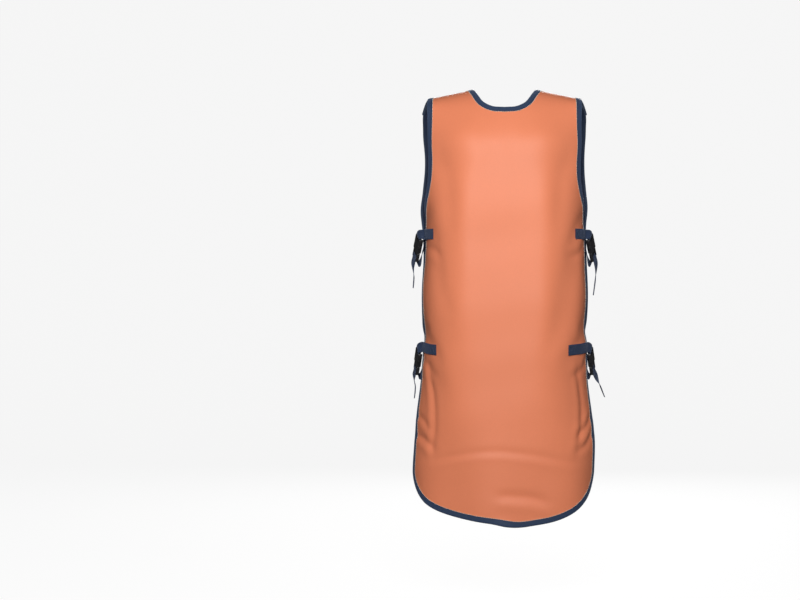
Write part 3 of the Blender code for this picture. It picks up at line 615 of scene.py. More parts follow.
def build_mottle(graph, given, out):
    """Slow and quick noise that lightens and darkens a colour by a stated share."""
    slow = graph.add("ShaderNodeTexNoise", {"Vector": given["Vector"], "Scale": 5.5, "Detail": 3.0})
    quick = graph.add("ShaderNodeTexNoise", {"Vector": given["Vector"], "Scale": given["Speck scale"],
                                             "Detail": 2.0})
    both = graph.math("ADD", graph.math("MULTIPLY", slow.outputs[0], 0.65),
                      graph.math("MULTIPLY", quick.outputs[0], 0.35))
    share = graph.math("MULTIPLY_ADD", graph.math("SUBTRACT", both, 0.5), given["Amount"], 1.0)
    scaled = graph.add("ShaderNodeVectorMath", {0: given["Colour"]}, operation="SCALE")
    graph.link(share, scaled.inputs["Scale"])
    graph.link(scaled.outputs[0], out["Colour"])
    graph.link(both, out["Mask"])


def mottled_colour():
    return shared_group("mottled_colour", [("Vector", VECTOR, None), ("Colour", COLOUR, None),
                                           ("Amount", VALUE, 0.2), ("Speck scale", VALUE, 400.0)],
                        [("Colour", COLOUR), ("Mask", VALUE)], build_mottle)


def build_wear(graph, given, out):
    """Lightens a colour where the rub mask and a broken noise are both high."""
    noise = graph.add("ShaderNodeTexNoise", {"Vector": given["Vector"], "Scale": 900.0, "Detail": 3.0})
    broken = graph.add("ShaderNodeMapRange", {0: noise.outputs[0], 1: 0.40, 2: 0.62})
    mask = graph.math("MULTIPLY", graph.math("MULTIPLY", given["Rub"], broken.outputs[0]), given["Amount"])
    mix = graph.add("ShaderNodeMix", {0: mask, 6: given["Colour"], 7: given["Worn"]}, data_type="RGBA")
    graph.link(mix.outputs[2], out["Colour"])
    graph.link(mask, out["Mask"])


def edge_wear():
    return shared_group("edge_wear", [("Vector", VECTOR, None), ("Colour", COLOUR, None),
                                      ("Worn", COLOUR, (0.2, 0.22, 0.28, 1)), ("Rub", VALUE, 0.0),
                                      ("Amount", VALUE, 0.5)],
                        [("Colour", COLOUR), ("Mask", VALUE)], build_wear)


def group_node(graph, group, sockets):
    return graph.add("ShaderNodeGroup", sockets, node_tree=group)


def mottled(graph, place, colour, amount, speck):
    """The shared mottle at a place, with a finish's own colour, amount and speck scale."""
    return group_node(graph, mottled_colour(), {"Vector": place, "Colour": (*colour, 1),
                                                "Amount": amount, "Speck scale": speck})


def with_painted_shade(graph, shader, colour, share):
    """Base colour: a colour times a share that changes over the surface; every caller makes it darker in
    the hollows of the weave or pile, a painted shade.
    """
    tinted = graph.add("ShaderNodeVectorMath", {0: colour}, operation="SCALE")
    graph.link(share, tinted.inputs["Scale"])
    graph.link(tinted.outputs[0], shader.inputs["Base Color"])


def new_material(name, **principled):
    """A material and its graph, with constants set on the shader's own sockets."""
    mat = bpy.data.materials.new(name)
    mat.use_nodes = True
    shader = mat.node_tree.nodes["Principled BSDF"]
    for key, value in principled.items():
        shader.inputs[key.replace("_", " ").title().replace("Ior", "IOR")].default_value = value
    return mat, Graph(mat.node_tree), shader


def bumped(graph, shader, height, strength, distance):
    bump = graph.add("ShaderNodeBump", {"Height": height, "Strength": strength, "Distance": distance})
    graph.link(bump.outputs[0], shader.inputs["Normal"])


def places(graph):
    return (graph.add("ShaderNodeTexCoord").outputs["Object"],
            graph.add("ShaderNodeUVMap", uv_map="cut").outputs[0])


def coated_fabric(name, colour, roughness, sheen):
    """Polyurethane-coated nylon: a tight weave that shows faintly through a leathery skin, with painted
    shade making the colour a little darker in the weave's hollows.
    """
    mat, graph, shader = new_material(name, sheen_weight=sheen, sheen_roughness=0.45,
                                      specular_ior_level=0.34)
    shader.inputs["Sheen Tint"].default_value = (1.0, 0.72, 0.58, 1)
    place, cut = places(graph)
    mottle = mottled(graph, place, colour, 0.16, 260.0)
    weave = group_node(graph, woven_threads(), {"Vector": cut, "Warp pitch": 0.00075,
                                                "Weft pitch": 0.00075})
    grain = graph.add("ShaderNodeTexNoise", {"Vector": place, "Scale": 520.0, "Detail": 4.0})
    # Painted shade: the base colour is slightly darker in the weave's hollows than on the threads.
    shade = graph.math("MULTIPLY_ADD", weave.outputs["Height"], 0.05, 0.965)
    with_painted_shade(graph, shader, mottle.outputs["Colour"], shade)
    rough = graph.add("ShaderNodeMapRange", {0: mottle.outputs["Mask"], 3: roughness - 0.06,
                                             4: roughness + 0.07})
    graph.link(rough.outputs[0], shader.inputs["Roughness"])
    height = graph.math("ADD", graph.math("MULTIPLY", weave.outputs["Height"], 0.55),
                        graph.math("MULTIPLY", grain.outputs[0], 0.9))
    bumped(graph, shader, height, 0.32, 0.00022)
    return mat


def woven_tape(name, colour, worn, pitch, roughness, weft=None, chevron=0.0):
    """Navy tape or webbing: ribs of the stated pitch across it, with painted shade darkening the colour
    between the threads.
    """
    mat, graph, shader = new_material(name, sheen_weight=0.22, sheen_roughness=0.5,
                                      specular_ior_level=0.3)
    shader.inputs["Sheen Tint"].default_value = (0.55, 0.66, 0.95, 1)
    place, cut = places(graph)
    vector = cut
    if chevron:
        split = graph.add("ShaderNodeSeparateXYZ", {0: cut})
        fold = graph.math("PINGPONG", split.outputs[0], chevron)
        along = graph.math("ADD", split.outputs[1], fold)
        vector = graph.add("ShaderNodeCombineXYZ", {0: split.outputs[0], 1: along}).outputs[0]
    weave = group_node(graph, woven_threads(), {"Vector": vector, "Warp pitch": weft or pitch,
                                                "Weft pitch": pitch})
    mottle = mottled(graph, place, colour, 0.45, 700.0)
    rub = graph.add("ShaderNodeAttribute", attribute_name="rub")
    wear = group_node(graph, edge_wear(), {"Vector": place, "Colour": mottle.outputs["Colour"],
                                           "Worn": (*worn, 1), "Rub": rub.outputs["Fac"],
                                           "Amount": 0.55})
    # Painted shade: the colour falls to about half its value between the threads, where the weave height
    # is low.
    shade = graph.math("MULTIPLY_ADD", weave.outputs["Height"], 0.62, 0.55)
    with_painted_shade(graph, shader, wear.outputs["Colour"], shade)
    rough = graph.add("ShaderNodeMapRange", {0: weave.outputs["Height"], 3: roughness + 0.1,
                                             4: roughness - 0.08})
    graph.link(rough.outputs[0], shader.inputs["Roughness"])
    bumped(graph, shader, weave.outputs["Height"], 0.55, 0.00035)
    return mat


def pile_tape(name, colour):
    """Brushed loop pile: tangled fibres by warped noise over small tufts, with painted shade darkening the
    colour between the tufts.
    """
    mat, graph, shader = new_material(name, sheen_weight=0.5, sheen_roughness=0.6,
                                      specular_ior_level=0.2, roughness=0.92)
    shader.inputs["Sheen Tint"].default_value = (0.5, 0.62, 0.95, 1)
    place, _ = places(graph)
    tufts = graph.add("ShaderNodeTexVoronoi", {"Vector": place, "Scale": 900.0}, feature="SMOOTH_F1")
    fibre = graph.add("ShaderNodeTexNoise", {"Vector": place, "Scale": 1500.0, "Detail": 3.0,
                                             "Distortion": 1.5})
    mottle = mottled(graph, place, colour, 0.6, 500.0)
    height = graph.math("SUBTRACT", fibre.outputs[0], tufts.outputs["Distance"])
    # Painted shade: the colour is darker where the pile height is low, between the tufts.
    shade = graph.math("MULTIPLY_ADD", height, 0.55, 0.95)
    with_painted_shade(graph, shader, mottle.outputs["Colour"], shade)
    bumped(graph, shader, height, 0.7, 0.0006)
    return mat


def lead_vinyl(name, colour):
    """Heavy filled vinyl: matt grey with fine pits and pale specks."""
    mat, graph, shader = new_material(name, specular_ior_level=0.4)
    place, _ = places(graph)
    mottle = mottled(graph, place, colour, 0.5, 900.0)
    pits = graph.add("ShaderNodeTexNoise", {"Vector": place, "Scale": 1100.0, "Detail": 3.0})
    graph.link(mottle.outputs["Colour"], shader.inputs["Base Color"])
    rough = graph.add("ShaderNodeMapRange", {0: pits.outputs[0], 3: 0.5, 4: 0.75})
    graph.link(rough.outputs[0], shader.inputs["Roughness"])
    bumped(graph, shader, pits.outputs[0], 0.4, 0.0002)
    return mat


def moulded_plastic(name, colour):
    """Black acetal: a fine spark-eroded texture with faint flow marks and handling rub."""
    mat, graph, shader = new_material(name, specular_ior_level=0.5, coat_roughness=0.3)
    place, _ = places(graph)
    grain = graph.add("ShaderNodeTexNoise", {"Vector": place, "Scale": 2600.0, "Detail": 2.0})
    flow = graph.add("ShaderNodeTexNoise", {"Vector": place, "Scale": 90.0, "Detail": 2.0,
                                            "Distortion": 1.2})
    edge = graph.add("ShaderNodeMapRange", {0: graph.add("ShaderNodeNewGeometry").outputs["Pointiness"],
                                            1: 0.50, 2: 0.60})
    wear = group_node(graph, edge_wear(), {"Vector": place, "Colour": (*colour, 1),
                                           "Worn": (0.12, 0.12, 0.13, 1),
                                           "Rub": edge.outputs[0], "Amount": 0.5})
    graph.link(wear.outputs["Colour"], shader.inputs["Base Color"])
    rough = graph.add("ShaderNodeMapRange", {0: flow.outputs[0], 3: 0.28, 4: 0.46})
    graph.link(rough.outputs[0], shader.inputs["Roughness"])
    bumped(graph, shader, grain.outputs[0], 0.25, 0.0001)
    return mat


def sewing_thread(name, colour):
    """Twisted thread: fine slanting ridges and a slight colour change."""
    mat, graph, shader = new_material(name, roughness=0.6, sheen_weight=0.2, specular_ior_level=0.4)
    place, _ = places(graph)
    twist = graph.add("ShaderNodeTexWave", {"Vector": place, "Scale": 900.0, "Distortion": 1.0},
                      bands_direction="DIAGONAL")
    mottle = mottled(graph, place, colour, 0.3, 600.0)
    graph.link(mottle.outputs["Colour"], shader.inputs["Base Color"])
    bumped(graph, shader, twist.outputs["Fac"], 0.4, 0.0001)
    return mat


def plain_stage(name, colour):
    mat, graph, shader = new_material(name, roughness=0.85, specular_ior_level=0.1)
    shader.inputs["Emission Color"].default_value = (1, 1, 1, 1)
    seen = graph.add("ShaderNodeLightPath").outputs["Is Camera Ray"]
    graph.link(graph.math("MULTIPLY_ADD", seen, PAPER_GLOW, 0.04), shader.inputs["Emission Strength"])
    place, _ = places(graph)
    noise = graph.add("ShaderNodeTexNoise", {"Vector": place, "Scale": 0.8, "Detail": 1.0})
    ramp = graph.add("ShaderNodeMapRange", {0: noise.outputs[0], 3: colour[0] - 0.01, 4: colour[0]})
    mix = graph.add("ShaderNodeCombineColor", {0: ramp.outputs[0], 1: ramp.outputs[0],
                                               2: ramp.outputs[0]})
    graph.link(mix.outputs[0], shader.inputs["Base Color"])
    return mat


MATERIALS = {}


def finish_of(kind):
    """The material for a finish, made once with the user's colours."""
    if kind not in MATERIALS:
        tint = bpy.context.scene.apron_colours
        makers = {
            "cover": lambda: coated_fabric("coated_cover_cloth", tint.cover[:], 0.50, 0.03),
            "lining": lambda: coated_fabric("lining_cloth", tint.lining[:], 0.62, 0.10),
            "binding": lambda: woven_tape("ribbed_binding", tint.binding[:], (0.10, 0.14, 0.21),
                                          0.0009, 0.62, 0.02),
            "webbing": lambda: woven_tape("side_webbing", tint.webbing[:], (0.12, 0.14, 0.2),
                                          0.0013, 0.60, 0.0016, 0.0031),
            "loops": lambda: pile_tape("loop_pile", tint.pile[:]),
            "hooks": lambda: pile_tape("hook_face", [0.7 * c for c in tint.pile]),
            "lead": lambda: lead_vinyl("lead_filled_vinyl", tint.lead[:]),
            "plastic": lambda: moulded_plastic("moulded_acetal", tint.plastic[:]),
            "thread": lambda: sewing_thread("pale_thread", tint.thread[:]),
            "navy_thread": lambda: sewing_thread("navy_thread", [1.5 * c for c in tint.webbing]),
            "stage": lambda: plain_stage("studio_paper", tint.paper[:]),
        }
        MATERIALS[kind] = makers[kind]()
    return MATERIALS[kind]


# ------------------------------------------------------------------ settings
def length_property(label, text, default):
    return bpy.props.FloatProperty(name=label, description=text, default=default, min=0.0,
                                   unit="LENGTH", precision=4)


def colour_property(label, text, default):
    return bpy.props.FloatVectorProperty(name=label, description=text, default=default,
                                         subtype="COLOR", size=3, min=0.0, max=1.0)


class ApronSizes(bpy.types.PropertyGroup):
    """Sizes a user may change without recutting the panels."""

    mesh_step: length_property("Cloth mesh step", "Distance between the cloth's points", 0.0048)
    stitch_pitch: length_property("Stitch pitch", "Distance from stitch to stitch", 0.0040)
    stitch_length: length_property("Stitch length", "Length of thread that shows", 0.0033)
    cover_thick: length_property("Cover thickness", "Thickness of the coated cloth", 0.0006)
    drape_limit: length_property("Drape limit", "Furthest the simulation moves a point", 0.006)
    camera_distance: length_property("Camera distance", "From the origin, straight ahead", 4.0)


class ApronColours(bpy.types.PropertyGroup):
    """Base colours of the finishes."""

    cover: colour_property("Cover", "Coated cloth outside", (0.83, 0.248, 0.122))
    lining: colour_property("Lining", "Cloth inside", (0.66, 0.19, 0.105))
    binding: colour_property("Binding", "Edge tape", (0.024, 0.044, 0.094))
    webbing: colour_property("Webbing", "Side straps", (0.018, 0.034, 0.080))
    pile: colour_property("Pile", "Hook-and-loop tape", (0.016, 0.036, 0.085))
    lead: colour_property("Lead vinyl", "Shielding plies", (0.17, 0.17, 0.18))
    plastic: colour_property("Buckles", "Moulded plastic", (0.014, 0.014, 0.016))
    thread: colour_property("Thread", "Stitches along the bindings", (0.70, 0.58, 0.45))
    paper: colour_property("Paper", "Floor and backdrop", (0.10, 0.10, 0.10))


def sizes():
    return bpy.context.scene.apron_sizes


def settle(obj, body, slot, *nodes, blend=None):
    """Puts a piece on its body, or with blend only bakes its transform in place, and hides its CAD nodes.
    slot is not used.
    """
    if blend:
        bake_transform(obj)
    else:
        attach(obj, body)
    if nodes:
        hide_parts(*nodes)
    return obj


def flap_blend(side):
    """The flap's body name and two points across the shoulder's crest that mark its hinge."""
    x = FLAP_HINGE_X * SIDES[side]
    return f"{side}_shoulder_flap", (x, FLAP_BENDS[0], 0.0), (x, FLAP_BENDS[1], 0.0)


def grid_counts(width, height):
    step = sizes().mesh_step
    return int(height / step), int(width / step)


# ------------------------------------------------------------------ pieces
class Maker(bpy.types.Operator):
    """Shared frame of the operators; each one's make() does its work."""

    bl_idname = "apron.base"
    bl_label = "Apron piece"
    bl_options = {"REGISTER", "UNDO"}

    def execute(self, context):
        self.make()
        return {"FINISHED"}


class APRON_OT_drape(Maker):
    """Hangs coarse copies of both panels by cloth simulation, and keeps how far they moved."""

    bl_idname = "apron.drape"
    bl_label = "Drape the panels"

    def make(self):
        DRAPE.clear()
        TABLE.clear()
        DRAPE[1] = simulate(HALF_FRONT, LENGTH_FRONT, FRONT_SIDE, 1)
        DRAPE[-1] = simulate(HALF_BACK, LENGTH_BACK, BACK_SIDE, -1)


def simulate(half, length, side, sign):
    """Cloth run on a grid over one panel, softly tied to its cut shape and a little too large
    for it, so that it buckles as heavy cloth does.  Gives (movement grid, step, half)."""
    step = half / 16
    columns, rows = 33, int(length / step) + 2
    s = np.linspace(-half, half, columns)
    t = np.arange(rows) * step
    s, t = np.meshgrid(s, t)
    points = hung(s, sign * t)
    face = quads(rows, columns)
    edge = np.interp(t, side[:, 1], side[:, 0], right=0.0)
    low = length - 0.105 * (np.abs(s) / half) ** 4
    used = (np.abs(s) < edge + step * 0.7) & (t < low + step * 0.5) & (t > 0.13 - 0.3 * np.abs(s))
    keep = used.reshape(-1)[face].all(1)
    mesh = bpy.data.meshes.new("drape")
    mesh.from_pydata(points.reshape(-1, 3).tolist(), [], face[keep].tolist())
    obj = bpy.data.objects.new("drape", mesh)
    bpy.context.scene.collection.objects.link(obj)
    tie = obj.vertex_groups.new(name="tie")
    strap = np.zeros(s.shape)
    for drop in STRAP_LEVELS.values():
        at = drop + (FRONT_FALL if sign > 0 else BACK_FALL)
        strap = np.maximum(strap, np.exp(-(((np.abs(s) - 0.22) / 0.03) ** 2) - ((t - at) / 0.03) ** 2))
    hold = np.maximum(1 - smooth(t, 0.10, 0.26), strap)
    hold = np.clip(0.10 + 0.9 * hold, 0, 1)
    hold[~used] = 1.0
    for value in np.unique(np.round(hold, 2)):
        at = np.flatnonzero(np.round(hold.reshape(-1), 2) == value)
        tie.add(at.tolist(), float(value), "REPLACE")
    cloth_run = obj.modifiers.new("hang", "CLOTH")
    settings = cloth_run.settings
    settings.quality = 6
    settings.mass = 0.9
    settings.tension_stiffness = settings.compression_stiffness = 60.0
    settings.shear_stiffness = 30.0
    settings.bending_stiffness = 2.2
    settings.shrink_min = -0.022
    settings.vertex_group_mass = "tie"
    settings.pin_stiffness = 0.55
    settings.air_damping = 2.0
    settings.effector_weights.gravity = 0.25
    cloth_run.collision_settings.use_collision = False
    cloth_run.point_cache.frame_start, cloth_run.point_cache.frame_end = 1, 26
    scene = bpy.context.scene
    for number in range(1, 27):
        scene.frame_set(number)
    graph = bpy.context.evaluated_depsgraph_get()
    hung_mesh = obj.evaluated_get(graph).to_mesh()
    after = np.zeros(len(hung_mesh.vertices) * 3, np.float32)
    hung_mesh.vertices.foreach_get("co", after)
    obj.evaluated_get(graph).to_mesh_clear()
    move = after.reshape(rows, columns, 3) - points
    scene.frame_set(1)
    bpy.data.objects.remove(obj, do_unlink=True)
    bpy.data.meshes.remove(mesh)
    size = np.linalg.norm(move, axis=-1, keepdims=True)
    limit = sizes().drape_limit
    move = move * limit / (limit + size)
    move[~used] = 0.0
    near = used.astype(float)
    for _ in range(6):
        total, count = np.zeros_like(move), np.zeros_like(near)
        for dr, dc in ((1, 0), (-1, 0), (0, 1), (0, -1)):
            total += np.roll(move * near[..., None], (dr, dc), (0, 1))
            count += np.roll(near, (dr, dc), (0, 1))
        fill = (near == 0) & (count > 0)
        move[fill] = total[fill] / count[fill][:, None]
        near[fill] = 1.0
    fade = smooth(t, 0.14, 0.26)[..., None]
    return move * fade, step, half


class APRON_OT_front_panel(Maker):
    """Front cover, both lead plies and lining, from the shoulder seam to the hem."""

    bl_idname = "apron.front_panel"
    bl_label = "Front panel"

    def make(self):
        arm, neck = crossing(FRONT_SIDE, SEAM), crossing(NECK_LEFT, SEAM)
        rows, columns = grid_counts(0.52, 1.05)
        grid = panel_grid(FRONT_SIDE[arm:], NECK_LEFT[neck:], FRONT_SIDE[arm], rows, columns)
        thick = sizes().cover_thick
        cover = shell("front_cover_cloth", grid, FRONT_HALF, FRONT_HALF - thick, finish_of("cover"))
        settle(cover, "apron", "coated_cover", "front_cover")
        for name, outer, inner, node in (
                ("front_lead_sheet_outer", 0.0013, 0.0003, "front_lead_ply_outer"),
                ("front_lead_sheet_inner", -0.0003, -0.0013, "front_lead_ply_inner")):
            ply = shell(name, grid, outer, inner, finish_of("lead"))
            settle(ply, "apron", "lead_vinyl", node)
        lining = shell("front_lining_cloth", grid, -FRONT_HALF + thick, -FRONT_HALF,
                       finish_of("lining"))
        settle(lining, "apron", "lining", "front_lining")


class APRON_OT_back_panel(Maker):
    """Back cover, lead core and lining."""

    bl_idname = "apron.back_panel"
    bl_label = "Back panel"

    def make(self):
        rows, columns = grid_counts(0.50, 1.04)
        neck = curve(NECK_BACK)
        grid = panel_grid(BACK_SIDE, neck, BACK_SIDE[0], rows, columns)
        grid = grid * np.array([1.0, -1.0])
        thick = sizes().cover_thick
        lie = -BACK_INSET
        cover = shell("back_cover_cloth", grid, lie + BACK_HALF, lie + BACK_HALF - thick,
                      finish_of("cover"))
        settle(cover, "apron", "coated_cover", "back_cover")
        core = shell("back_lead_sheet", grid, lie + 0.0005, lie - 0.0005, finish_of("lead"))
        settle(core, "apron", "lead_vinyl", "back_lead_core")
        lining = shell("back_lining_cloth", grid, lie - BACK_HALF + thick, lie - BACK_HALF,
                       finish_of("lining"))
        settle(lining, "apron", "lining", "back_lining")


def tape_grid(corners, rows, columns, sign):
    """Bilinear grid of a straight-sided tape from its four (s, |t|) corners."""
    a, b, c, d = [np.array(p) * np.array([sign, -1.0]) for p in corners]
    v, u = np.meshgrid(np.linspace(0, 1, rows), np.linspace(0, 1, columns), indexing="ij")
    u, v = u[..., None], v[..., None]
    return (1 - u) * (1 - v) * a + u * (1 - v) * b + u * v * c + (1 - u) * v * d


def pile_tape_piece(name, corners, sign, under, thick, mat):
    """Tape with its pile standing proud inside a flat woven selvedge."""
    rows, columns = np.arange(28), np.arange(64)
    grid = tape_grid(corners, len(rows), len(columns), sign)
    from_rim = np.minimum(rows, rows[::-1]) / 3.0
    rise = under + thick * (0.45 + 0.55 * smooth(from_rim, 0.4, 1.4))[:, None]
    rise = rise + 0.00010 * np.sin(columns * 1.9)[None] * smooth(from_rim, 0.6, 1.5)[:, None]
    return shell(name, grid, rise, under, mat)


class APRON_OT_shoulders(Maker):
    """Both shoulder flaps, front seam to flap end, with hook and loop tapes."""

    bl_idname = "apron.shoulders"
    bl_label = "Shoulder flaps"

    def make(self):
        for side, sign in SIDES.items():
            self.flap(side, sign)
            self.tapes(side, sign)

    def flap(self, side, sign):
        arm = joined(curve(FLAP_ARM)[::-1], FRONT_SIDE)
        arm = arm[:crossing(arm, SEAM) + 1][::-1]
        neck = NECK_LEFT[:crossing(NECK_LEFT, SEAM) + 1][::-1]
        rows, columns = grid_counts(0.105, 0.108)
        rows, columns = 3 * rows // 2, 3 * columns // 2
        arm, neck = even(arm, rows), even(neck, rows)
        grid = coons(even(np.stack([neck[0], arm[0]]), columns),
                     even(np.stack([neck[-1], arm[-1]]), columns), neck, arm)
        grid = grid * np.array([sign, 1.0])
        thick = sizes().cover_thick
        to = flap_blend(side)
        node = f"{side}_flap_"
        cover = self.turned_cover(f"{side}_shoulder_cover", grid, thick)
        settle(cover, "apron", "coated_cover", node + "cover", blend=to)
        core = shell(f"{side}_shoulder_lead", grid[::2, ::2], 0.0013, -0.0013, finish_of("lead"))
        settle(core, "apron", "lead_vinyl", node + "lead_core", blend=to)
        lining = shell(f"{side}_shoulder_lining", grid, -FRONT_HALF + thick, -FRONT_HALF,
                       finish_of("lining"))
        settle(lining, "apron", "lining", node + "lining", blend=to)

    def turned_cover(self, name, grid, thick):
        """Cover whose last rows turn down round the flap's end, over its core and lining."""
        turn = np.linspace(0, math.pi, 9)[1:]
        end, before = grid[-1], grid[-2]
        away = end - before
        away = away / np.linalg.norm(away, axis=1, keepdims=True)
        radius = FRONT_HALF + 0.0003
        rolled = end[None] + away[None] * (radius * np.sin(turn))[:, None, None]
        back = end[None] - away[None] * np.array([0.003, 0.007])[:, None, None]
        full = np.concatenate([grid, rolled, back])
        flat = np.full(len(grid), FRONT_HALF)
        outer = np.concatenate([flat, radius * np.cos(turn), [-radius, -radius]])
        inner_flat = flat - thick
        shrink = (radius - thick) / radius
        inner = np.concatenate([inner_flat, (radius - thick) * np.cos(turn),
                                [-radius + thick, -radius + thick]])
        inner_roll = end[None] + away[None] * (radius * shrink * np.sin(turn))[:, None, None]
        inner_grid = np.concatenate([grid, inner_roll, back])
        top = cloth(full[..., 0], full[..., 1], outer[:, None])
        under = cloth(inner_grid[..., 0], inner_grid[..., 1], inner[:, None])
        return walled(name, top, under, full, finish_of("cover"))

    def tapes(self, side, sign):
        clear = BINDING + 0.0002
        neck_s, arm_s = FLAP_NECK[-1][0] + clear, FLAP_ARM[-1][0] - clear
        neck_t, arm_t = -FLAP_NECK[-1][1], -FLAP_ARM[-1][1]
        loop = [(neck_s + 0.001, neck_t - 0.024), (arm_s - 0.007, arm_t - 0.024),
                (arm_s + 0.0030, arm_t + 0.030), (neck_s - 0.013, neck_t + 0.030)]
        under = -BACK_INSET + BACK_HALF
        piece = pile_tape_piece(f"{side}_shoulder_loops", loop, sign, under, 0.0021,
                                finish_of("loops"))
        settle(piece, "apron", "hook_and_loop", f"{side}_shoulder_loop_tape")
        hook = [(neck_s - 0.003, neck_t - 0.024), (arm_s - 0.013, arm_t - 0.024),
                (arm_s - 0.003, arm_t - 0.003), (neck_s + 0.002, neck_t - 0.001)]
        grid = tape_grid(hook, 20, 60, sign)
        top = -FRONT_HALF - 0.0003
        bumps = 0.00025 * np.sin(np.arange(20) * 2.1)[:, None] * np.sin(np.arange(60) * 2.1)[None]
        hooks = shell(f"{side}_shoulder_hooks", grid, top, top - 0.0014 + bumps,
                      finish_of("hooks"))
        settle(hooks, f"{side}_shoulder_flap", "hook_and_loop", f"{side}_flap_hook_tape")


class APRON_OT_bindings(Maker):
    """Folded tape round every raw edge, with its stitch rows inside and out."""

    bl_idname = "apron.bindings"
    bl_label = "Edge bindings"

    def make(self):
        mat = finish_of("binding")
        for kind, run, turn in (("edge", FRONT_EDGE, 1.0), ("neck", FRONT_NECK, -1.0)):
            towards = inward(run, turn)
            first = crossing(run, SEAM)
            last = len(run) - 1 - int(np.argmax(run[::-1, 1] >= SEAM - 1e-9))
            span = slice(first, last + 1)
            piece = binding(f"front_{kind}_tape", run[span], turn, FRONT_HALF, 0.0, mat,
                            towards=towards[span])
            settle(piece, "apron", "binding", f"front_{kind}_binding")
            self.seams(f"front_{kind}", run[span], towards[span], FRONT_HALF, 0.0, False, None)
            ends = {"left": slice(0, first + 1), "right": slice(last, len(run))}
            for side, part in ends.items():
                label = "armhole" if kind == "edge" else "neck"
                to = flap_blend(side)
                piece = binding(f"{side}_shoulder_{label}_tape", run[part], turn, FRONT_HALF, 0.0,
                                mat, towards=towards[part], spacing=0.0025)
                settle(piece, "apron", "binding", f"{side}_flap_{label}_binding", blend=to)
                self.seams(f"{side}_shoulder_{label}", run[part], towards[part], FRONT_HALF, 0.0,
                           False, to)
        for kind, run, turn in (("edge", BACK_EDGE, 1.0), ("neck", BACK_NECK, -1.0)):
            towards = inward(run, turn)
            piece = binding(f"back_{kind}_tape", run, turn, BACK_HALF, -BACK_INSET, mat, back=True,
                            towards=towards)
            settle(piece, "apron", "binding", f"back_{kind}_binding")
            self.seams(f"back_{kind}", run, towards, BACK_HALF, -BACK_INSET, True, None)

    def seams(self, name, run, towards, half, level, back, blend):
        for face, out in (("outer", 1.0), ("inner", -1.0)):
            at = level + out * (half + LIP_STITCH_UP)
            line = run + towards * LIP_STITCH_IN
            line = even(line, max(4, int(lengths(line)[-1] / 0.0015)))
            t = -line[:, 1] if back else line[:, 1]
            points = cloth(line[:, 0], t, at)
            normal = cloth_normal(line[:, 0], t) * out
            piece = stitch_row(f"{name}_{face}_stitches", points, normal, finish_of("thread"),
                               sizes().stitch_length, sizes().stitch_pitch, LIP_STITCH_RADIUS)
            settle(piece, "apron", "binding", blend=blend)


class APRON_OT_tape_stitches(Maker):
    """Stitch rows along the loop tape, the flap's end and the flap's hook tape."""

    bl_idname = "apron.tape_stitches"
    bl_label = "Shoulder stitches"

    def make(self):
        for side, sign in SIDES.items():
            low = [(0.1002, -0.0775), (0.1885, -0.0965)]
            end = [(0.113, -0.0470), (0.186, -0.0613)]
            row = self.row(low, sign, -BACK_INSET + BACK_HALF + 0.0011)
            piece = stitch_row(f"{side}_loops_stitches", *row, finish_of("thread"))
            settle(piece, "apron", "hook_and_loop")
            row = self.row(end, sign, FRONT_HALF + 0.0001)
            piece = stitch_row(f"{side}_flap_end_stitches", *row, finish_of("thread"))
            settle(piece, f"{side}_shoulder_flap", "coated_cover")

    def row(self, ends, sign, level):
        line = even(np.array(ends) * np.array([sign, 1.0]), 80)
        return (cloth(line[:, 0], line[:, 1], level), cloth_normal(line[:, 0], line[:, 1]))


# ------------------------------------------------------------------ straps and buckles
def buckle_frame(level, sign):
    """Matrix that carries the buckle's own axes to where it hangs."""
    near, far = [Vector((p[0] * sign, p[1], p[2])) for p in BUCKLES[level]]
    along = (far - near).normalized()
    up = Vector((0, 0, 1))
    across = (up - along * up.dot(along)).normalized()
    face = along.cross(across)
    if face.x * sign < 0:
        across, face = -across, -face
    return Matrix.Translation(near) @ Matrix((along, across, face)).transposed().to_4x4()


def placed(at, points):
    m = np.array(at)
    return np.array(points, float) @ m[:3, :3].T + m[:3, 3]


def each_strap():
    for level in STRAP_LEVELS:
        for side, sign in SIDES.items():
            yield f"{level}_{side}_", level, side, sign, buckle_frame(level, sign)


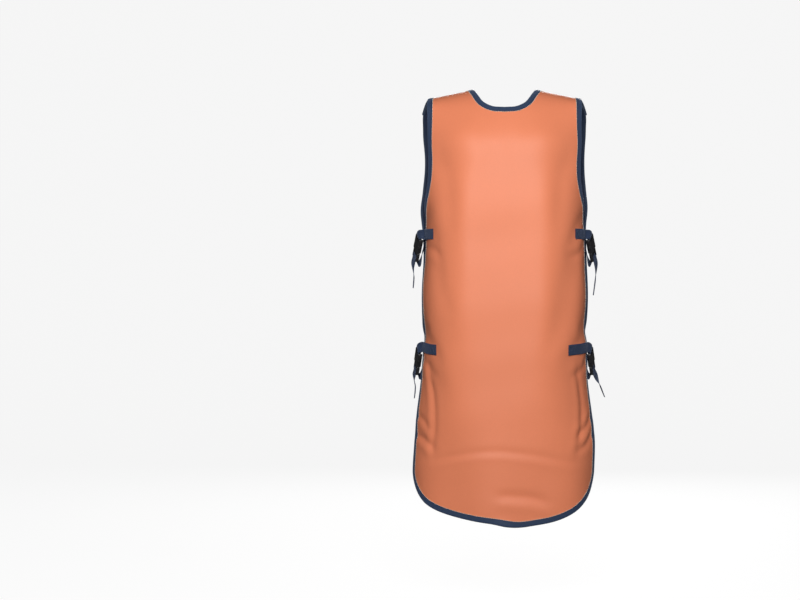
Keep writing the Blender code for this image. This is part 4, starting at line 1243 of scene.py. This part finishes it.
class APRON_OT_front_straps(Maker):
    """Short webbing sewn flat on the front panel and looped round each female half's bar."""

    bl_idname = "apron.front_straps"
    bl_label = "Front straps"

    def make(self):
        for name, level, side, sign, at in each_strap():
            t = STRAP_LEVELS[level] + FRONT_FALL
            sewn = STRAP_SEWN[f"{level}_{side}"]
            s = np.linspace(sewn, STRAP_LEAVES, 9) * sign
            rise = np.interp(np.abs(s), *STRAP_RISE)
            on_panel = cloth(s, np.full(9, t), rise)
            radius = BAR_LOOP_RADIUS
            turn = np.linspace(-0.5 * math.pi, 0.5 * math.pi, 7)
            around = [(radius * math.cos(a), 0, -radius * math.sin(a)) for a in turn]
            loop = placed(at, [(-0.006, 0, radius + 0.0004), *around, (-0.007, 0, -radius)])
            lead = curve([on_panel[-2], on_panel[-1], loop[0], loop[1]], 0.004)
            skip = int(len(lead) * 0.42)
            path = np.concatenate([on_panel[:-1], lead[skip:-1], loop[1:]])
            width = np.array(at.to_3x3() @ Vector((0, 1, 0)))
            upright = np.array([0, 0, 1.0]) * np.sign(width[2])
            share = np.clip((np.arange(len(path)) - 6) / 7.0, 0, 1)[:, None]
            dirs = upright * (1 - share) + width * share
            strap = ribbon(name + "front_webbing", path, dirs, finish_of("webbing"))
            settle(strap, "apron", "webbing", name + "front_strap")
            self.box_stitch(name, t, sign, sewn + 0.0025)

    def box_stitch(self, name, t, sign, a):
        """A sewn box with a cross, standing on the webbing where it is flat on the panel."""
        b, h = a + 0.019, 0.0100
        corners = [(a, -h), (b, -h), (b, h), (a, h), (a, -h), (b, h)]
        lines = [corners, [(b, -h), (a, h)]]
        for number, line in enumerate(lines):
            run = even(np.array(line), 90 if number == 0 else 30)
            points = cloth(run[:, 0] * sign, t + run[:, 1], 0.0043)
            normal = cloth_normal(run[:, 0] * sign, t + run[:, 1])
            piece = stitch_row(f"{name}box_stitch_{number}", points, normal,
                               finish_of("navy_thread"), 0.0022, 0.0030)
            settle(piece, "apron", "webbing")


class APRON_OT_back_straps(Maker):
    """Long webbing from inside the back panel, through the adjuster, to its free end."""

    bl_idname = "apron.back_straps"
    bl_label = "Back straps"

    def make(self):
        for name, level, side, sign, at in each_strap():
            t = STRAP_LEVELS[level] + BACK_FALL - 0.034
            inner = -BACK_INSET - BACK_HALF - 0.0030
            sewn = cloth(np.array([0.2180, 0.2320]) * sign, np.array([-t, -t]), inner)
            mirror = np.array([sign, 1.0, 1.0])
            z = -STRAP_LEVELS[level]
            drop = np.array([(0.1870, 0.0150, z + 0.030), (0.1880, 0.0070, z + 0.014),
                             (0.1900, 0.0050, z - 0.012), (0.1965, 0.0070, z - 0.042)]) * mirror
            under = placed(at, [(0.076, 0, -0.0085), (0.071, 0, -0.0034), (0.062, 0, -0.0028),
                                (0.0535, 0, -0.0028), (0.0475, 0, -0.0026)])
            over = placed(at, [(0.0455, 0, 0.0), (0.0475, 0, 0.0026), (0.0535, 0, 0.0028),
                               (0.0630, 0, 0.0030)])
            far = placed(at, [(0.065, 0, 0.0032)])[0]
            tail = far + np.array(TAILS[f"{level}_{side}"]) * mirror
            points = np.concatenate([sewn, drop, under, over, tail])
            width = np.array(at.to_3x3() @ Vector((0, 1, 0)))
            upright = np.array([0, 0, 1.0]) * np.sign(width[2])
            level_wide = np.array([0, 1.0, 0]) * np.sign(width[1])
            dirs = [upright] * 3 + [upright * 0.6 + level_wide * 0.6] + [level_wide] * 2
            dirs += [width] * 9 + [width, level_wide, level_wide]
            strap = ribbon(name + "back_webbing", points, dirs, finish_of("webbing"))
            root = Vector(sewn[1])
            settle(strap, "apron", "webbing", name + "back_strap",
                   blend=(name + "buckle_male_half", root, at @ Vector((0.066, 0, 0))))


class APRON_OT_buckles(Maker):
    """Moulded halves and prongs: the solids' own shapes with rounded edges and grip ribs."""

    bl_idname = "apron.buckles"
    bl_label = "Buckles"

    def make(self):
        for name, *_, at in each_strap():
            bodies = {"buckle_female": "apron", "buckle_male": name + "buckle_male_half",
                      "buckle_prong_a": name + "prong_a", "buckle_prong_b": name + "prong_b"}
            for node, body in bodies.items():
                piece = self.rounded(name + node)
                settle(piece, body, "buckle_plastic", name + node)
            self.ribs(name, at)

    def rounded(self, node):
        source = NODES[node].data
        bm = bmesh.new()
        bm.from_mesh(source)
        bmesh.ops.remove_doubles(bm, verts=bm.verts, dist=2e-5)
        bmesh.ops.dissolve_limit(bm, angle_limit=math.radians(1.5), verts=bm.verts, edges=bm.edges)
        bmesh.ops.recalc_face_normals(bm, faces=bm.faces)
        mesh = bpy.data.meshes.new(node + "_moulding")
        bm.to_mesh(mesh)
        bm.free()
        obj = bpy.data.objects.new(node + "_moulding", mesh)
        bpy.context.scene.collection.objects.link(obj)
        mesh.materials.append(finish_of("plastic"))
        bevel = obj.modifiers.new("rounding", "BEVEL")
        bevel.width, bevel.segments, bevel.limit_method = 0.00055, 3, "ANGLE"
        bevel.angle_limit = math.radians(25)
        bevel.harden_normals = False
        mesh.shade_smooth()
        mesh.set_sharp_from_angle(angle=math.radians(60))
        return obj

    def ribs(self, name, at):
        """Raised bars across the female half's face, low domed in section."""
        for number, x in enumerate((0.0300, 0.0322, 0.0344)):
            u = np.linspace(-1, 1, 25)
            angle = np.linspace(0, 2 * math.pi, 12, endpoint=False)
            taper = np.sqrt(np.clip(1 - np.abs(u) ** 6, 0.02, 1))
            px = x + 0.00065 * taper[:, None] * np.cos(angle)[None]
            pz = 0.0055 + 0.00050 * taper[:, None] * np.sin(angle)[None]
            py = np.broadcast_to((0.0095 * u)[:, None], px.shape)
            rings = placed(at, np.stack([px, py, pz], -1).reshape(-1, 3)).reshape(25, 12, 3)
            piece = tube(f"{name}grip_rib_{number}", rings, np.zeros((25, 12, 2)), None,
                         finish_of("plastic"))
            settle(piece, "apron", "buckle_plastic")


# ------------------------------------------------------------------ stage
# Name, place, target, width, height, watts.
LAMPS = (("key", (-0.05, -2.5, 0.45), (0.0, 0.0, -0.35), 1.2, 1.2, 67.0),
         ("rear_key", (0.3, 2.5, 0.5), (0.0, 0.0, -0.35), 1.3, 1.3, 54.0),
         ("left_wash", (3.4, -0.6, 0.2), (0.0, 0.0, -0.5), 1.4, 1.8, 4.0),
         ("right_wash", (-3.4, -0.6, 0.2), (0.0, 0.0, -0.5), 1.4, 1.8, 4.0))
WORLD_STRENGTH, WORLD_SEEN, PAPER_GLOW = 0.06, 0.93, 0.86
LENS, SENSOR, CAMERA_HEIGHT, VIEW_SHIFT = 75.0, 36.0, -0.5, -0.1306


class APRON_OT_stage(Maker):
    """Paper floor that curves up into a backdrop, soft lights and the camera."""

    bl_idname = "apron.stage"
    bl_label = "Stage"

    def make(self):
        self.paper()
        for row in LAMPS:
            self.light(*row)
        world = bpy.context.scene.world or bpy.data.worlds.new("studio")
        bpy.context.scene.world = world
        world.use_nodes = True
        sky = world.node_tree.nodes["Background"]
        sky.inputs["Color"].default_value = (1.0, 1.0, 1.0, 1)
        graph = Graph(world.node_tree)
        seen = graph.add("ShaderNodeLightPath").outputs["Is Camera Ray"]
        strength = graph.math("MULTIPLY_ADD", seen, WORLD_SEEN - WORLD_STRENGTH, WORLD_STRENGTH)
        graph.link(strength, sky.inputs["Strength"])
        bpy.context.scene.view_settings.view_transform = "Standard"
        data = bpy.data.cameras.new("camera")
        data.lens, data.sensor_width = LENS, SENSOR
        data.shift_x = VIEW_SHIFT
        camera = bpy.data.objects.new("camera", data)
        camera.location = (0.0, -sizes().camera_distance, CAMERA_HEIGHT)
        camera.rotation_euler = (math.pi / 2, 0, 0)
        bpy.context.scene.collection.objects.link(camera)
        bpy.context.scene.camera = camera

    def paper(self):
        """A floor line that turns up through a quarter circle, carried across in X."""
        floor, wall, bend, half = -1.22, 4.5, 1.2, 9.0
        turn = np.linspace(-math.pi / 2, 0, 24)
        profile = np.concatenate([[(-12.0, floor)],
                                  np.stack([wall - bend + bend * np.cos(turn),
                                            floor + bend + bend * np.sin(turn)], 1),
                                  [(wall, 7.0)]])
        x = np.linspace(-half, half, 5)
        verts = np.stack([np.broadcast_to(x[None], (len(profile), 5)),
                          np.broadcast_to(profile[:, :1], (len(profile), 5)),
                          np.broadcast_to(profile[:, 1:], (len(profile), 5))], -1)
        paper = make_mesh("paper", verts.reshape(-1, 3), quads(len(profile), 5)[:, ::-1], None,
                          None, finish_of("stage"))

    def light(self, name, place, target, width, height, watts):
        data = bpy.data.lights.new(name, "AREA")
        data.shape, data.size, data.size_y, data.energy = "RECTANGLE", width, height, watts
        lamp = bpy.data.objects.new(name, data)
        lamp.location = place
        lamp.rotation_euler = (Vector(target) - Vector(place)).to_track_quat("-Z", "Y").to_euler()
        bpy.context.scene.collection.objects.link(lamp)


STEPS = (APRON_OT_stage, APRON_OT_drape, APRON_OT_front_panel, APRON_OT_back_panel,
         APRON_OT_shoulders, APRON_OT_bindings, APRON_OT_tape_stitches, APRON_OT_front_straps,
         APRON_OT_back_straps, APRON_OT_buckles)


class APRON_PT_panel(bpy.types.Panel):
    """Sidebar list of the apron's sizes, colours and steps."""

    bl_idname = "APRON_PT_panel"
    bl_label = "Lead apron"
    bl_space_type = "VIEW_3D"
    bl_region_type = "UI"
    bl_category = "Apron"

    def draw(self, context):
        for group in (context.scene.apron_sizes, context.scene.apron_colours):
            for key in group.bl_rna.properties.keys():
                if key not in {"rna_type", "name"}:
                    self.layout.prop(group, key)
        for step in STEPS:
            self.layout.operator(step.bl_idname)


CLASSES = (ApronSizes, ApronColours, *STEPS, APRON_PT_panel)


def register():
    for cls in CLASSES:
        bpy.utils.register_class(cls)
    bpy.types.Scene.apron_sizes = bpy.props.PointerProperty(type=ApronSizes)
    bpy.types.Scene.apron_colours = bpy.props.PointerProperty(type=ApronColours)


def unregister():
    del bpy.types.Scene.apron_colours
    del bpy.types.Scene.apron_sizes
    for cls in reversed(CLASSES):
        bpy.utils.unregister_class(cls)


def main():
    register()
    for step in STEPS:
        module, call = step.bl_idname.split(".")
        getattr(getattr(bpy.ops, module), call)()


if __name__ == "__main__":
    main()
